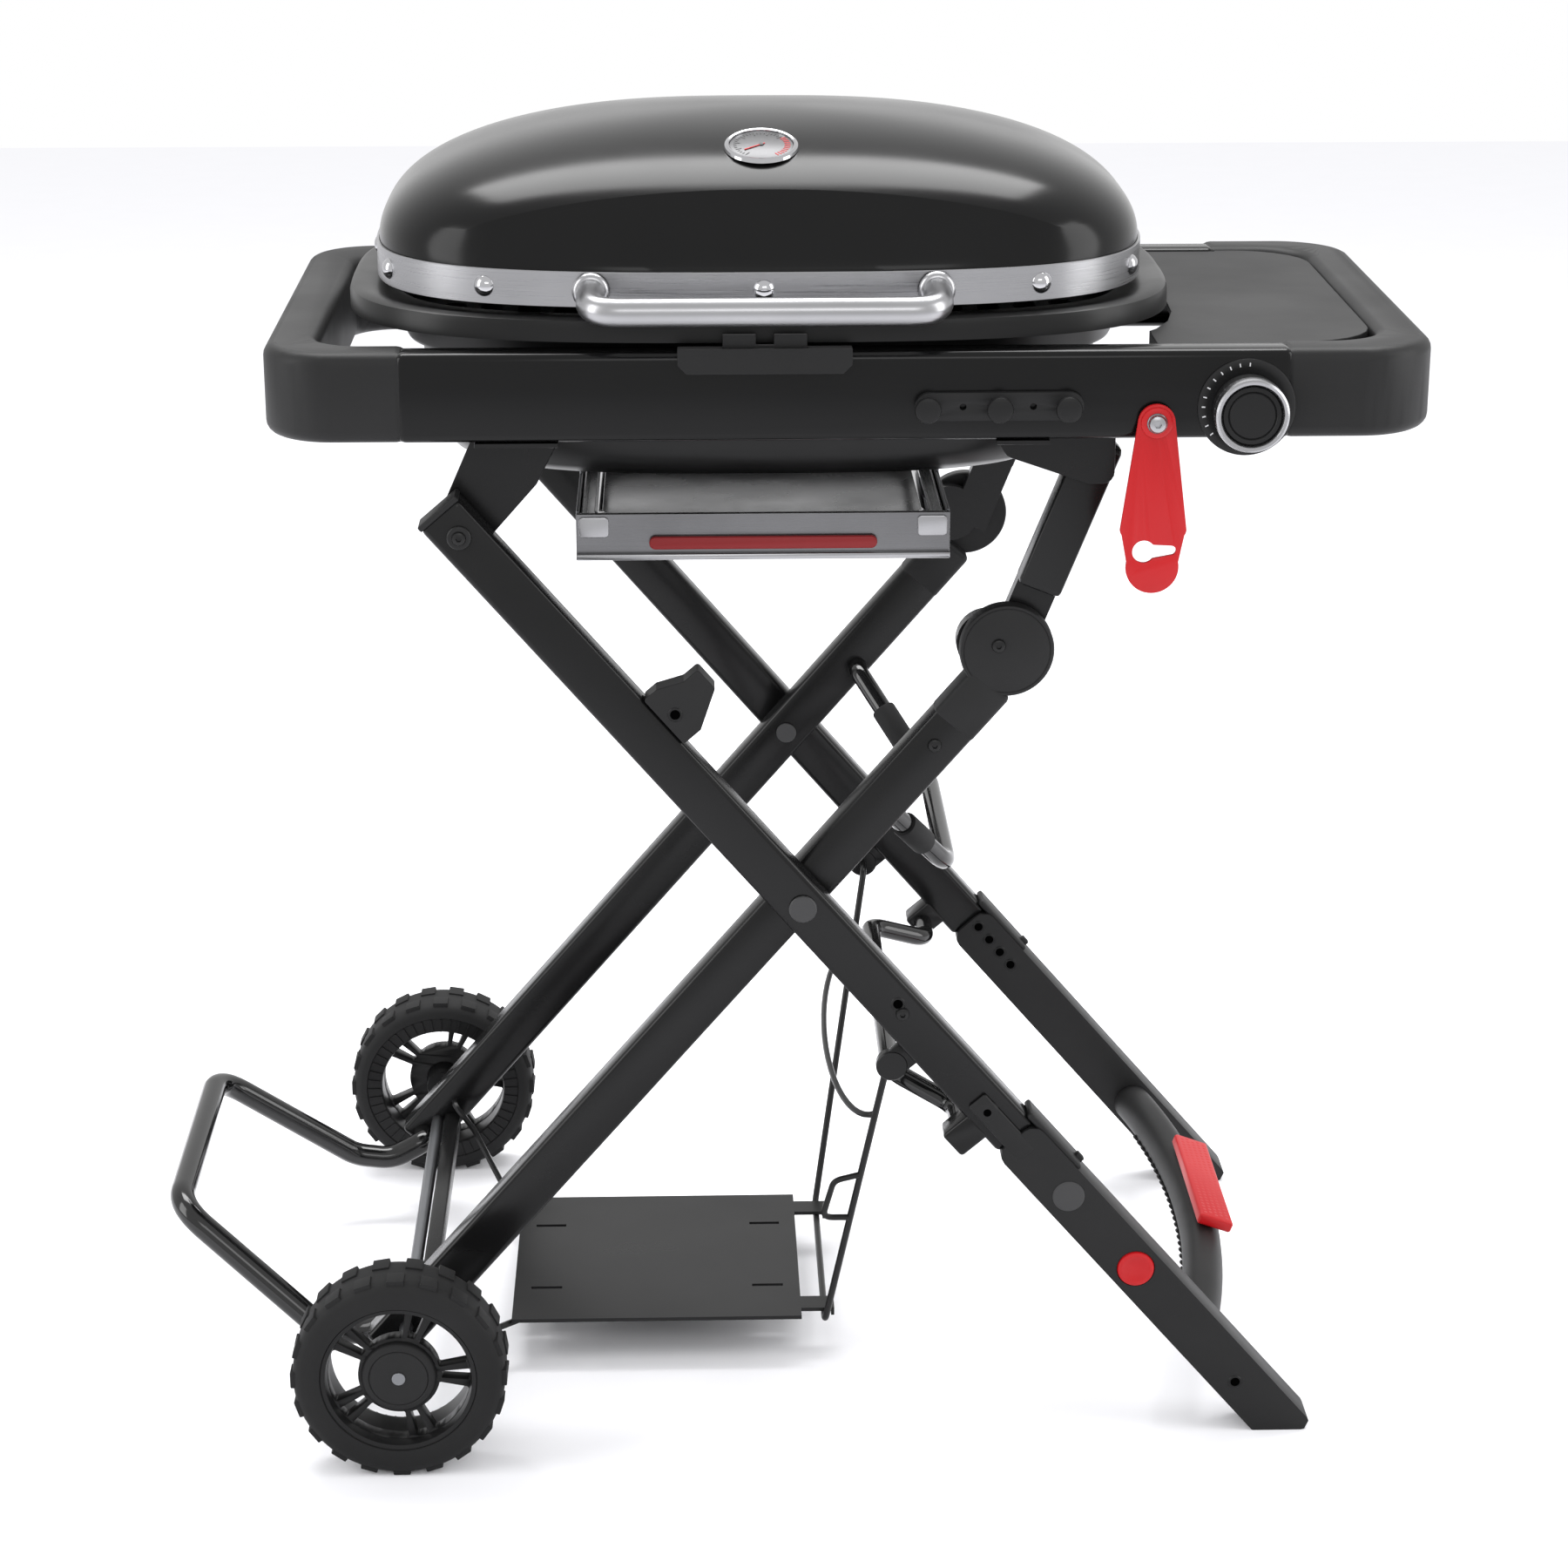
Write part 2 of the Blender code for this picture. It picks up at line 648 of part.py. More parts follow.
# ---- firebox ----------------------------------------------------------------
def make_firebox():
    ledge_half = (WALL_HALF[0] - LEDGE, WALL_HALF[1] - LEDGE)
    mouth = (WALL_HALF[0] + 0.012, WALL_HALF[1] + 0.012)
    low = (ledge_half[0] - 0.006, ledge_half[1] - 0.006)
    rings = [(superellipse(FLANGE_HALF, 1.0), FLANGE_TOP - FLANGE_DROP),
             (superellipse(FLANGE_HALF, 1.0), FLANGE_TOP - 0.003),
             (superellipse(FLANGE_HALF, 0.99), FLANGE_TOP),
             (superellipse(mouth, 1.0), FLANGE_TOP),
             (superellipse(WALL_HALF, 1.0), FLANGE_TOP - 0.015),
             (superellipse(WALL_HALF, 1.0), LEDGE_Z + 0.001),
             (superellipse(ledge_half, 1.0), LEDGE_Z - 0.001),
             (superellipse(low, 1.0), BOX_BOTTOM + 0.035),
             (superellipse(low, 0.86), BOX_BOTTOM + 0.010),
             (superellipse(DRAIN_HALF, 1.0), BOX_BOTTOM)]
    tub = thicken(loft(rings), BOX_SHEET, 1.0)
    start = (BOX_X + 0.18, BURNER_FRONT, BURNER_Z)
    tub = cut(tub, cylinder(start, (BOX_X + 0.30, BURNER_FRONT, BURNER_Z), BURNER_RADIUS + 0.002))
    finish(tub, "firebox", "black_enamel", "root", 30)


def make_grates():
    """Two slotted cast-iron grates that lie on the firebox's ledge, side by side."""
    half = (WALL_HALF[0] - 0.003, WALL_HALF[1] - 0.003)
    plan = superellipse(half, 1.0, 40)
    bars = 8
    for name, sign in (("left_grate", -1), ("right_grate", 1)):
        edge = BOX_X + sign * 0.001
        outline = [point for point in plan if (point[0] - edge) * sign > 0.004]
        first = (edge, BOX_Y - half[1])
        last = (edge, BOX_Y + half[1])
        ordered = sorted(outline, key=lambda point: math.atan2(point[1] - BOX_Y, sign * (point[0] - edge)))
        holes = []
        pitch = (half[0] - 0.035) / bars
        for index in range(bars):
            x = edge + sign * (0.016 + pitch * (index + 0.5))
            reach = (half[1] - 0.020) * (1 - abs((x - BOX_X) / half[0]) ** CORNER_POWER) ** (1 / CORNER_POWER)
            gap = pitch * 0.30
            for low, high in ((BOX_Y - reach, BOX_Y - 0.006), (BOX_Y + 0.006, BOX_Y + reach)):
                holes.append(rounded([(x - gap, low), (x + gap, low), (x + gap, high), (x - gap, high)],
                                     gap * 0.8, 2))
        grate = flat([[first] + ordered + [last]] + holes, LEDGE_Z + 0.0035, LEDGE_Z + 0.0035 + GRATE_THICK,
                     "XY")
        finish(grate, name, "cast_iron", "root")


def make_burner():
    inlet = BOX_X + WALL_HALF[0] + 0.030
    far = BOX_X - 0.185
    route = [(inlet, BURNER_FRONT, BURNER_Z), (far, BURNER_FRONT, BURNER_Z), (far, BURNER_BACK, BURNER_Z),
             (BOX_X + 0.185, BURNER_BACK, BURNER_Z)]
    finish(tube(route, BURNER_RADIUS, 0.06, 5), "burner_tube", "brushed_steel", "root")


def make_gas_train():
    """The valve behind the knob, its orifice tube, and the regulator that a bottle screws on to."""
    face = TABLE_FRONT + RAIL_DEPTH + 0.001
    valve = baked(box((KNOB_X - 0.014, face, KNOB_Z - 0.014),
                      (KNOB_X + 0.014, face + 0.036, KNOB_Z + 0.014), 0.003))
    inlet = BOX_X + WALL_HALF[0] + 0.030 + 0.0015
    pipe = tube([(KNOB_X, face + 0.030, KNOB_Z), (KNOB_X, BURNER_FRONT, KNOB_Z),
                 (KNOB_X - 0.012, BURNER_FRONT, BURNER_Z),
                 (inlet, BURNER_FRONT, BURNER_Z)], 0.005, 0.010, 3)
    valve = joined(valve, pipe)
    start = KNOB_X + 0.013
    profile = [(0, 0.050), (0.0115, 0.050), (0.0115, 0.038), (0.008, 0.038), (0.008, 0.033), (0.0175, 0.031),
               (0.0175, 0.014), (0.012, 0.010), (0.006, 0.008), (0.006, 0), (0, 0)]
    regulator = turned(profile, (start, TABLE_FRONT + END_WIDTH + 0.024, KNOB_Z), (1, 0, 0), 20)
    bore = cylinder((KNOB_X, face - 0.01, KNOB_Z), (KNOB_X, face + 0.016, KNOB_Z), STEM_RADIUS + RUNNING)
    finish(cut(joined(valve, regulator), bore), "gas_valve", "brass", "root")


# ---- drip tray --------------------------------------------------------------
def make_drip_tray():
    """A steel channel under the firebox, and the pan that slides in it."""
    (left, right), (front, back), (low, high) = TRAY_X, TRAY_Y, TRAY_Z
    sheet = TRAY_SHEET
    walls = [(left, front), (left + sheet, front), (left + sheet, back - sheet),
             (right - sheet, back - sheet),
             (right - sheet, front), (right, front), (right, back), (left, back)]
    ledge = 0.010
    floor = [(left, front), (left + ledge, front), (left + ledge, back - ledge),
             (right - ledge, back - ledge),
             (right - ledge, front), (right, front), (right, back), (left, back)]
    frame = joined(flat([walls], low, high, "XY"), flat([floor], low, low + sheet, "XY"))
    for edge in (left, right - sheet):
        frame = joined(frame, box((edge, -0.055, high - 0.004), (edge + sheet, 0.010, TRAY_HANGER_TOP)))
    finish(frame, "drip_tray_frame", "brushed_steel", "root")
    inset = sheet + 0.001
    bottom = low + sheet + GAP
    pan = box((left + inset, front + 0.0015, bottom), (right - inset, back - inset, high - 0.006))
    bm = bmesh.new()
    bm.from_mesh(pan.data)
    lid = [face for face in bm.faces if face.normal.z > 0.9]
    bmesh.ops.delete(bm, geom=lid, context="FACES_ONLY")
    bm.to_mesh(pan.data)
    bm.free()
    pan = thicken(pan, 0.0015, -1.0)
    panel = box((left, front - 0.005, low), (right, front - 0.0005, high - 0.001))
    tie = box((left + 0.02, front - 0.002, bottom + 0.002), (right - 0.02, front + 0.0025, high - 0.008))
    finish(joined(pan, panel, tie), "drip_pan", "brushed_steel", "drip_pan")
    middle = (left + right) / 2
    strip = box((middle - 0.079, front - 0.0095, low + 0.0075),
                (middle + 0.079, front - 0.005 - GAP, low + 0.0165), 0.002)
    finish(strip, "drip_pan_grip", "red_plastic", "drip_pan")


# ---- lid --------------------------------------------------------------------
def dome_height(share):
    return BAND_HIGH + DOME_RISE * max(0.0, 1 - share ** DOME_POWER) ** (1 / DOME_POWER)


def dome_at(x, y):
    """The dome's height above one point of its plan."""
    across = abs((x - BOX_X) / LID_HALF[0]) ** CORNER_POWER
    deep = abs((y - BOX_Y) / LID_HALF[1]) ** CORNER_POWER
    return dome_height(min(1.0, (across + deep) ** (1 / CORNER_POWER)))


def make_lid():
    rings = [(superellipse(LID_HALF, 1.0), LID_BASE), (superellipse(LID_HALF, 1.0), BAND_HIGH)]
    for share in (0.985, 0.95, 0.87, 0.74, 0.56, 0.34, 0.10):
        rings.append((superellipse(LID_HALF, share), dome_height(share)))
    shell = thicken(loft(rings, close_top=True), LID_SHEET, -1.0)
    height = dome_at(BOX_X, GAUGE_Y)
    slope = (dome_at(BOX_X, GAUGE_Y + 0.004) - dome_at(BOX_X, GAUGE_Y - 0.004)) / 0.008
    normal = Vector((0, -slope, 1)).normalized()
    spot = Vector((BOX_X, GAUGE_Y, height))
    hole = cylinder(spot - normal * 0.02, spot + normal * 0.02, GAUGE_RADIUS - 0.004 + RUNNING, 24)
    bolts = []
    for x in (BOX_X - HANDLE_LENGTH / 2 + HANDLE_RADIUS, BOX_X + HANDLE_LENGTH / 2 - HANDLE_RADIUS):
        bolts.append(cylinder((x, BOX_Y - LID_HALF[1] - 0.01, HANDLE_Z + 0.006),
                              (x, BOX_Y - LID_HALF[1] + 0.03, HANDLE_Z + 0.006),
                              0.0035, 16))
    finish(cut(shell, hole, *bolts), "lid_shell", "black_enamel", "lid", 30)
    band_half = (LID_HALF[0] + GAP, LID_HALF[1] + GAP)
    rows = [(superellipse(band_half, 1.0), BAND_LOW), (superellipse(band_half, 1.0), BAND_HIGH)]
    band = thicken(loft(rows), BAND_SHEET, 1.0)
    finish(band, "lid_band", "brushed_steel", "lid", 30)
    reach = 0.0035
    neck = GAUGE_RADIUS - 0.004
    profile = [(0, reach), (neck, reach), (GAUGE_RADIUS, reach - 0.0015), (GAUGE_RADIUS, 0.0016),
               (neck, 0.0016), (neck, -0.008), (0.003, -0.010), (0.003, -0.045), (0, -0.045)]
    finish(turned(profile, spot, normal, 32), "thermometer", "brushed_steel", "lid")


def make_lid_handle():
    back = BOX_Y - LID_HALF[1] - GAP - BAND_SHEET - GAP
    left = BOX_X - HANDLE_LENGTH / 2 + HANDLE_RADIUS
    right = BOX_X + HANDLE_LENGTH / 2 - HANDLE_RADIUS
    post = HANDLE_Z + 0.006
    route = [(left, back - 0.0005, post), (left, HANDLE_Y, HANDLE_Z), (right, HANDLE_Y, HANDLE_Z),
             (right, back - 0.0005, post)]
    finish(tube(route, HANDLE_RADIUS, 0.016, 5, 3), "lid_handle", "brushed_steel", "lid")


def make_hinges():
    """Two hinges at the back: a fixed plate on the rear rail, and an arm on the lid's band beside it."""
    band_back = BOX_Y + LID_HALF[1] + GAP + BAND_SHEET
    for side, sign in (("left", -1), ("right", 1)):
        x = BOX_X + sign * HINGE_SPREAD
        near = (x - 0.015, x - 0.0003)
        plate = box((near[0], REAR_RAIL_BACK + GAP, RAIL_TOP - 0.040),
                    (near[1], REAR_RAIL_BACK + 0.004, HINGE_Z - 0.005))
        lug = box((near[0], REAR_RAIL_BACK + 0.0035, HINGE_Z - 0.016),
                  (near[1], HINGE_Y + 0.004, HINGE_Z - 0.002))
        eye = cylinder((near[0], HINGE_Y, HINGE_Z), (near[1], HINGE_Y, HINGE_Z), HINGE_RADIUS, 16)
        finish(joined(plate, lug, eye), "hinge_plate_" + side, "black_paint", "root")
        far = (x + 0.0003, x + 0.015)
        arm = box((far[0], HINGE_Y - 0.006, HINGE_Z), (far[1], HINGE_Y + 0.003, HINGE_Z + 0.022))
        pad = box((far[0], band_back + 0.0006, HINGE_Z + 0.008), (far[1], HINGE_Y, HINGE_Z + 0.022))
        eye = cylinder((far[0], HINGE_Y, HINGE_Z), (far[1], HINGE_Y, HINGE_Z), HINGE_RADIUS, 16)
        finish(joined(arm, pad, eye), "hinge_arm_" + side, "black_paint", "lid")


def make_lid_lock():
    """A plate on the rail's face with a slide that rises to catch the lid's edge for travel."""
    face = TABLE_FRONT - GAP
    half = LOCK_PLATE_HALF
    low = RAIL_TOP - 0.0125
    high = RAIL_TOP + 0.0045
    outline = [(BOX_X - half, low + 0.006), (BOX_X - half + 0.006, low), (BOX_X + half - 0.006, low),
               (BOX_X + half, low + 0.006), (BOX_X + half, high), (BOX_X - half, high)]
    plate = flat([outline], face - 0.010, face)
    slot = box((BOX_X - 0.0285, face - 0.0065, low - 0.01), (BOX_X + 0.0285, face - 0.0025, high + 0.01))
    finish(cut(plate, slot), "lid_lock_plate", "dark_plastic", "root")
    tabs = [(BOX_X - 0.028, low + 0.001), (BOX_X + 0.028, low + 0.001), (BOX_X + 0.028, high + 0.009),
            (BOX_X + 0.006, high + 0.009), (BOX_X + 0.006, high + 0.002), (BOX_X - 0.006, high + 0.002),
            (BOX_X - 0.006, high + 0.009), (BOX_X - 0.028, high + 0.009)]
    finish(flat([tabs], face - 0.0061, face - 0.0029), "lid_lock_slide", "dark_plastic", "lid_lock")


# ---- knob and red lever -----------------------------------------------------
def make_knob():
    face = TABLE_FRONT - GAP
    profile = [(0, BEZEL_THICK), (BEZEL_RADIUS - 0.0005, BEZEL_THICK), (BEZEL_RADIUS, BEZEL_THICK - 0.0006),
               (BEZEL_RADIUS, 0), (0, 0)]
    bezel = turned(profile, (KNOB_X, face, KNOB_Z), (0, -1, 0), 32)
    bore = cylinder((KNOB_X, face - 0.02, KNOB_Z), (KNOB_X, face + 0.02, KNOB_Z), STEM_RADIUS + 0.002)
    finish(cut(bezel, bore), "knob_bezel", "dark_plastic", "root")
    back = face - BEZEL_THICK - KNOB_TRAVEL - 0.0006
    profile = [(0, KNOB_DEPTH), (KNOB_RADIUS - 0.005, KNOB_DEPTH), (KNOB_RADIUS - 0.002, KNOB_DEPTH - 0.002),
               (KNOB_RADIUS, KNOB_DEPTH - 0.008), (KNOB_RADIUS, 0), (0, 0)]
    knob = turned(profile, (KNOB_X, back, KNOB_Z), (0, -1, 0), 32)
    bore = cylinder((KNOB_X, back + 0.01, KNOB_Z), (KNOB_X, back - 0.0153, KNOB_Z), STEM_RADIUS + GAP)
    finish(cut(knob, bore), "control_knob", "dark_plastic", "knob")
    inner = TABLE_FRONT + RAIL_DEPTH + 0.001 + 0.012
    stem = cylinder((KNOB_X, back - 0.015, KNOB_Z), (KNOB_X, inner, KNOB_Z), STEM_RADIUS, 16)
    finish(stem, "valve_stem", "brushed_steel", "valve_stem")


def make_lock_lever():
    """The red plate that swings on its bolt in front of the rail."""
    top, wide = 0.0125, 0.0225
    wide_z = LEVER_Z - 0.0745
    low_z = LEVER_Z - LEVER_LENGTH
    low = 0.019
    outline = []
    for step in range(7):
        angle = math.radians(-10 + step * 200 / 6)
        outline.append((LEVER_X + top * math.cos(angle), LEVER_Z + top * math.sin(angle)))
    outline += [(LEVER_X - wide, wide_z), (LEVER_X - wide, wide_z - 0.006)]
    for step in range(9):
        angle = math.radians(180 + step * 180 / 8)
        outline.append((LEVER_X + low * math.cos(angle), low_z + low * math.sin(angle)))
    outline += [(LEVER_X + wide, wide_z - 0.006), (LEVER_X + wide, wide_z)]
    eye_x, eye_z = LEVER_X - 0.009, wide_z - 0.006
    back = TABLE_FRONT - 0.0030
    plate = flat([outline], back - LEVER_THICK, back)
    eye = cylinder((eye_x, back - 0.01, eye_z), (eye_x, back + 0.01, eye_z), 0.0085, 16)
    slot = cylinder((LEVER_X + 0.013, back - 0.01, wide_z - 0.001),
                    (LEVER_X + 0.013, back + 0.01, wide_z - 0.001), 0.0035, 12)
    neck = box((LEVER_X - 0.006, back - 0.01, wide_z - 0.0035),
               (LEVER_X + 0.013, back + 0.01, wide_z + 0.0015))
    bolt = cylinder((LEVER_X, back - 0.01, LEVER_Z), (LEVER_X, back + 0.01, LEVER_Z), 0.0035 + RUNNING, 16)
    finish(cut(plate, joined(eye, slot, neck), bolt), "lock_lever", "red_plastic", "lock_lever")
    profile = [(0, 0.0095), (0.0055, 0.0095), (0.007, 0.0085), (0.007, 0.0065), (0.0035, 0.0065),
               (0.0035, 0.0024),
               (0.008, 0.0024), (0.008, 0), (0, 0)]
    finish(turned(profile, (LEVER_X, TABLE_FRONT - GAP, LEVER_Z), (0, -1, 0), 20), "lever_bolt",
           "brushed_steel", "root")


# ---- outer legs: they fold on the left brackets -----------------------------
def outer_toe(up):
    """How far along an outer leg a line at this height across it meets the floor."""
    return (FOLD.y + up * OUTER_UP.y) / -OUTER_DIR.y


def make_outer_legs():
    half = LEG_WIDTH / 2
    fold_hole = PIN_RADIUS + RUNNING
    for side, sign in sides():
        layer = span(OUTER_LAYER, sign)
        leg = bar(outer_point, (-LEG_TOP_END, FOOT_START - GAP), (-half, half), layer)
        tab_layer = span((OUTER_LAYER[0] + 0.001, OUTER_LAYER[0] + 0.004), sign)
        ear = flat([circle(CRADLE_PIVOT, 0.0095, 16)], *tab_layer)
        root_spot = CRADLE_PIVOT + OUTER_UP * 0.018
        neck = [root_spot - OUTER_DIR * 0.015 + OUTER_UP * 0.008, CRADLE_PIVOT - OUTER_DIR * 0.007,
                CRADLE_PIVOT + OUTER_DIR * 0.007, root_spot + OUTER_DIR * 0.015 + OUTER_UP * 0.008]
        lug = bar(outer_point, (CROSS_ALONG - 0.011, CROSS_ALONG + 0.011),
                  (CROSS_UP - 0.0095, -half + 0.004), layer, 0.003)
        leg = joined(leg, ear, flat([neck], *tab_layer), lug)
        low, high = layer[0] - 0.01, layer[1] + 0.01
        holes = [cylinder((FOLD.x, low, FOLD.y), (FOLD.x, high, FOLD.y), fold_hole, 20),
                 cylinder((SCISSOR.x, low, SCISSOR.y), (SCISSOR.x, high, SCISSOR.y), fold_hole, 20),
                 cylinder((CRADLE_PIVOT.x, low, CRADLE_PIVOT.y), (CRADLE_PIVOT.x, high, CRADLE_PIVOT.y),
                          WIRE_RADIUS + RUNNING, 12)]
        finish(cut(leg, *holes), "outer_leg_" + side, "black_paint", "outer_frame")
        outline = [outer_point(FOOT_START, -FOOT_HALF), outer_point(outer_toe(-FOOT_HALF), -FOOT_HALF),
                   outer_point(outer_toe(FOOT_HALF), FOOT_HALF), outer_point(FOOT_START, FOOT_HALF)]
        foot = flat([rounded(outline, [0.010, 0.002, 0.006, 0.010], 3)], *span(FOOT_LAYER, sign))
        foot = baked(bevel(foot, 0.003, 2, 60))
        if sign < 0:
            spot = outer_point(BUTTON_ALONG, 0.0)
            face = -FOOT_LAYER[1]
            pocket = cylinder((spot.x, face - 0.01, spot.y), (spot.x, face + 0.016, spot.y),
                              BUTTON_RADIUS + RUNNING, 32)
            foot = cut(foot, pocket)
            start = (spot.x, face + 0.011, spot.y)
            profile = [(0, 0.0128), (BUTTON_RADIUS - 0.002, 0.0128), (BUTTON_RADIUS, 0.0110),
                       (BUTTON_RADIUS, 0), (0, 0)]
            finish(turned(profile, start, (0, -1, 0), 32), "release_button", "red_plastic", "release_button")
        finish(foot, "foot_" + side, "dark_plastic", "outer_frame")
        head = sign * (OUTER_FACE + GAP)
        length = OUTER_FACE + GAP - PLATE_LAYER[0]
        profile = [(0, 0.003), (0.0075, 0.003), (0.0085, 0.002), (0.0085, 0), (PIN_RADIUS, 0),
                   (PIN_RADIUS, -length), (0, -length)]
        finish(turned(profile, (FOLD.x, head, FOLD.y), (0, sign, 0), 20), "fold_pin_" + side,
               "brushed_steel", "outer_frame")
        length = OUTER_FACE + GAP - INNER_LAYER[0] + GAP
        profile = [(0, 0.0025), (CAP_RADIUS - 0.001, 0.0025), (CAP_RADIUS, 0.0015), (CAP_RADIUS, 0),
                   (PIN_RADIUS, 0),
                   (PIN_RADIUS, -length), (0.008, -length), (0.008, -length - 0.003), (0, -length - 0.003)]
        finish(turned(profile, (SCISSOR.x, head, SCISSOR.y), (0, sign, 0), 20), "scissor_pin_" + side,
               "brushed_steel", "outer_frame")


def make_outer_frame_extras():
    """The grip tube with its tread pad, the cross tube and the catch block."""
    end = FOOT_LAYER[0] - GAP
    spot = outer_point(GRIP_ALONG, 0.0)
    straight = 0.006
    route = [(spot.x, -end, spot.y)]
    steps = 12
    for step in range(steps + 1):
        share = 2 * step / steps - 1
        bow = GRIP_BOW * (1 - abs(share) ** 2.4)
        route.append((spot.x + bow, share * (end - straight), spot.y))
    route.append((spot.x, end, spot.y))
    finish(tube(route, GRIP_RADIUS, 0, 0, 4), "cart_grip", "dark_plastic", "outer_frame")
    pad = box((-0.014, -PAD_LENGTH / 2, 0), (0.014, PAD_LENGTH / 2, 0.009), 0.002)
    pad = baked(pad)
    tilt = math.radians(20)
    normal = Vector((math.sin(tilt), 0, math.cos(tilt)))
    base = Vector((spot.x + GRIP_BOW, 0, spot.y)) + normal * (GRIP_RADIUS + GAP)
    pad.data.transform(Matrix.Translation(base) @ Matrix.Rotation(tilt, 4, "Y"))
    finish(pad, "tread_pad", "red_plastic", "outer_frame")
    start = outer_point(CROSS_ALONG, CROSS_UP)
    low = outer_point(0.520, -0.052)
    side = OUTER_LAYER[0] - GAP
    turn = INNER_LAYER[0] - 0.004
    route = [(start.x, side, start.y), (start.x, turn, start.y), (low.x, turn - 0.022, low.y)]
    route = route + [(x, -y, z) for x, y, z in reversed(route)]
    finish(tube(route, OUTER_CROSS_RADIUS, 0.016, 3), "outer_cross_tube", "black_paint", "outer_frame")
    half = LEG_WIDTH / 2
    layer = (-OUTER_FACE - 0.001, -OUTER_FACE + 0.017)
    points = [outer_point(CATCH_ALONG - 0.022, half + GAP), outer_point(CATCH_ALONG + 0.020, half + GAP),
              outer_point(CATCH_ALONG + 0.020, half + 0.016), outer_point(CATCH_ALONG + 0.004, half + 0.043),
              outer_point(CATCH_ALONG - 0.014, half + 0.043), outer_point(CATCH_ALONG - 0.014, half + 0.030),
              outer_point(CATCH_ALONG - 0.022, half + 0.012)]
    block = flat([rounded(points, 0.002, 2)], *layer)
    finish(block, "catch_block", "dark_plastic", "outer_frame")


# ---- inner legs: they turn on the scissor pins ------------------------------
def make_inner_legs():
    half = LEG_WIDTH / 2
    centre = KNUCKLE + Matrix.Rotation(SLOPE, 2) @ KNUCKLE_CENTRE
    for side, sign in sides():
        layer = span(INNER_LAYER, sign)
        cover = span((INNER_MID + GAP, INNER_LAYER[1]), sign)
        reach = KNUCKLE_ALONG - LINK_EYE_RADIUS - 0.003
        leg = bar(inner_point, (AXLE_ALONG - 0.027, reach), (-half, half), layer)
        tongue = bar(inner_point, (reach - 0.030, KNUCKLE_ALONG), (-half + 0.001, half - 0.001), cover, 0)
        disc = cylinder((centre.x, cover[0], centre.y), (centre.x, cover[1], centre.y), KNUCKLE_RADIUS, 40)
        leg = joined(leg, tongue, disc)
        low, high = layer[0] - 0.01, layer[1] + 0.01
        holes = []
        for spot, radius in ((SCISSOR, PIN_RADIUS + RUNNING), (AXLE, PIN_RADIUS + GAP),
                             (SHELF_PIVOT, WIRE_RADIUS + RUNNING)):
            holes.append(cylinder((spot.x, low, spot.y), (spot.x, high, spot.y), radius, 16))
        finish(cut(leg, *holes), "inner_leg_" + side, "black_paint", "inner_frame")


def make_inner_frame_extras():
    end = INNER_LAYER[0] - GAP
    top = inner_point(0.079, -0.008)
    low = inner_point(0.060, -0.094)
    route = [(top.x, end, top.y), (top.x, end - 0.014, top.y), (low.x, 0.095, low.y), (low.x, -0.095, low.y),
             (top.x, -end + 0.014, top.y), (top.x, -end, top.y)]
    finish(tube(route, INNER_CROSS_RADIUS, 0.030, 4), "inner_cross_tube", "black_paint", "inner_frame")
    reach = WHEEL_OUTER - 0.003
    axle = cylinder((AXLE.x, -reach, AXLE.y), (AXLE.x, reach, AXLE.y), PIN_RADIUS, 16)
    finish(axle, "axle_rod", "brushed_steel", "inner_frame")
    left = AXLE.x + PIN_RADIUS + 0.0015
    channel = box((left, -end, AXLE.y - CHANNEL_SIZE[1] / 2),
                  (left + CHANNEL_SIZE[0], end, AXLE.y + CHANNEL_SIZE[1] / 2), 0.002)
    finish(channel, "cross_channel", "black_paint", "inner_frame")
    start = inner_point(AXLE_ALONG - 0.0175, 0.0)
    far = AXLE.x - LOOP_REACH
    turn = end - LOOP_RADIUS - 0.004
    half_route = [(start.x, end, start.y), (start.x, turn, start.y),
                  (start.x - 0.026, turn - 0.004, start.y - 0.013),
                  (start.x - 0.056, turn - 0.005, start.y - 0.009), (far, 0.120, start.y + 0.077)]
    route = half_route + [(x, -y, z) for x, y, z in reversed(half_route)]
    finish(tube(route, LOOP_RADIUS, 0.032, 4, 3), "rear_loop", "black_paint", "inner_frame")


def make_links():
    """The short upper struts: a half-thickness eye at the knuckle and a full tube up to the bracket."""
    angle = math.atan2(LINK_TOP.y - KNUCKLE.y, LINK_TOP.x - KNUCKLE.x)
    length = (LINK_TOP - KNUCKLE).length
    half = LINK_WIDTH / 2
    tilt = math.asin((half + 0.001) / length)
    along_dir = Vector((math.cos(angle + tilt), math.sin(angle + tilt)))
    up_dir = Vector((-along_dir.y, along_dir.x))
    base = LINK_TOP - along_dir * length * math.cos(tilt)

    def place(along, up):
        return base + along_dir * along + up_dir * up

    for side, sign in sides():
        layer = span(INNER_LAYER, sign)
        thin = span((INNER_LAYER[0], INNER_MID - GAP), sign)
        top = length * math.cos(tilt) + half
        link = bar(place, (LINK_START, top), (-half, half), layer, 0.004)
        arm = bar(place, (-0.004, LINK_START + 0.02), (-half + 0.001, half - 0.001), thin, 0)
        eye = cylinder((KNUCKLE.x, thin[0], KNUCKLE.y), (KNUCKLE.x, thin[1], KNUCKLE.y), LINK_EYE_RADIUS, 32)
        finish(joined(link, arm, eye), "link_" + side, "black_paint", "link")


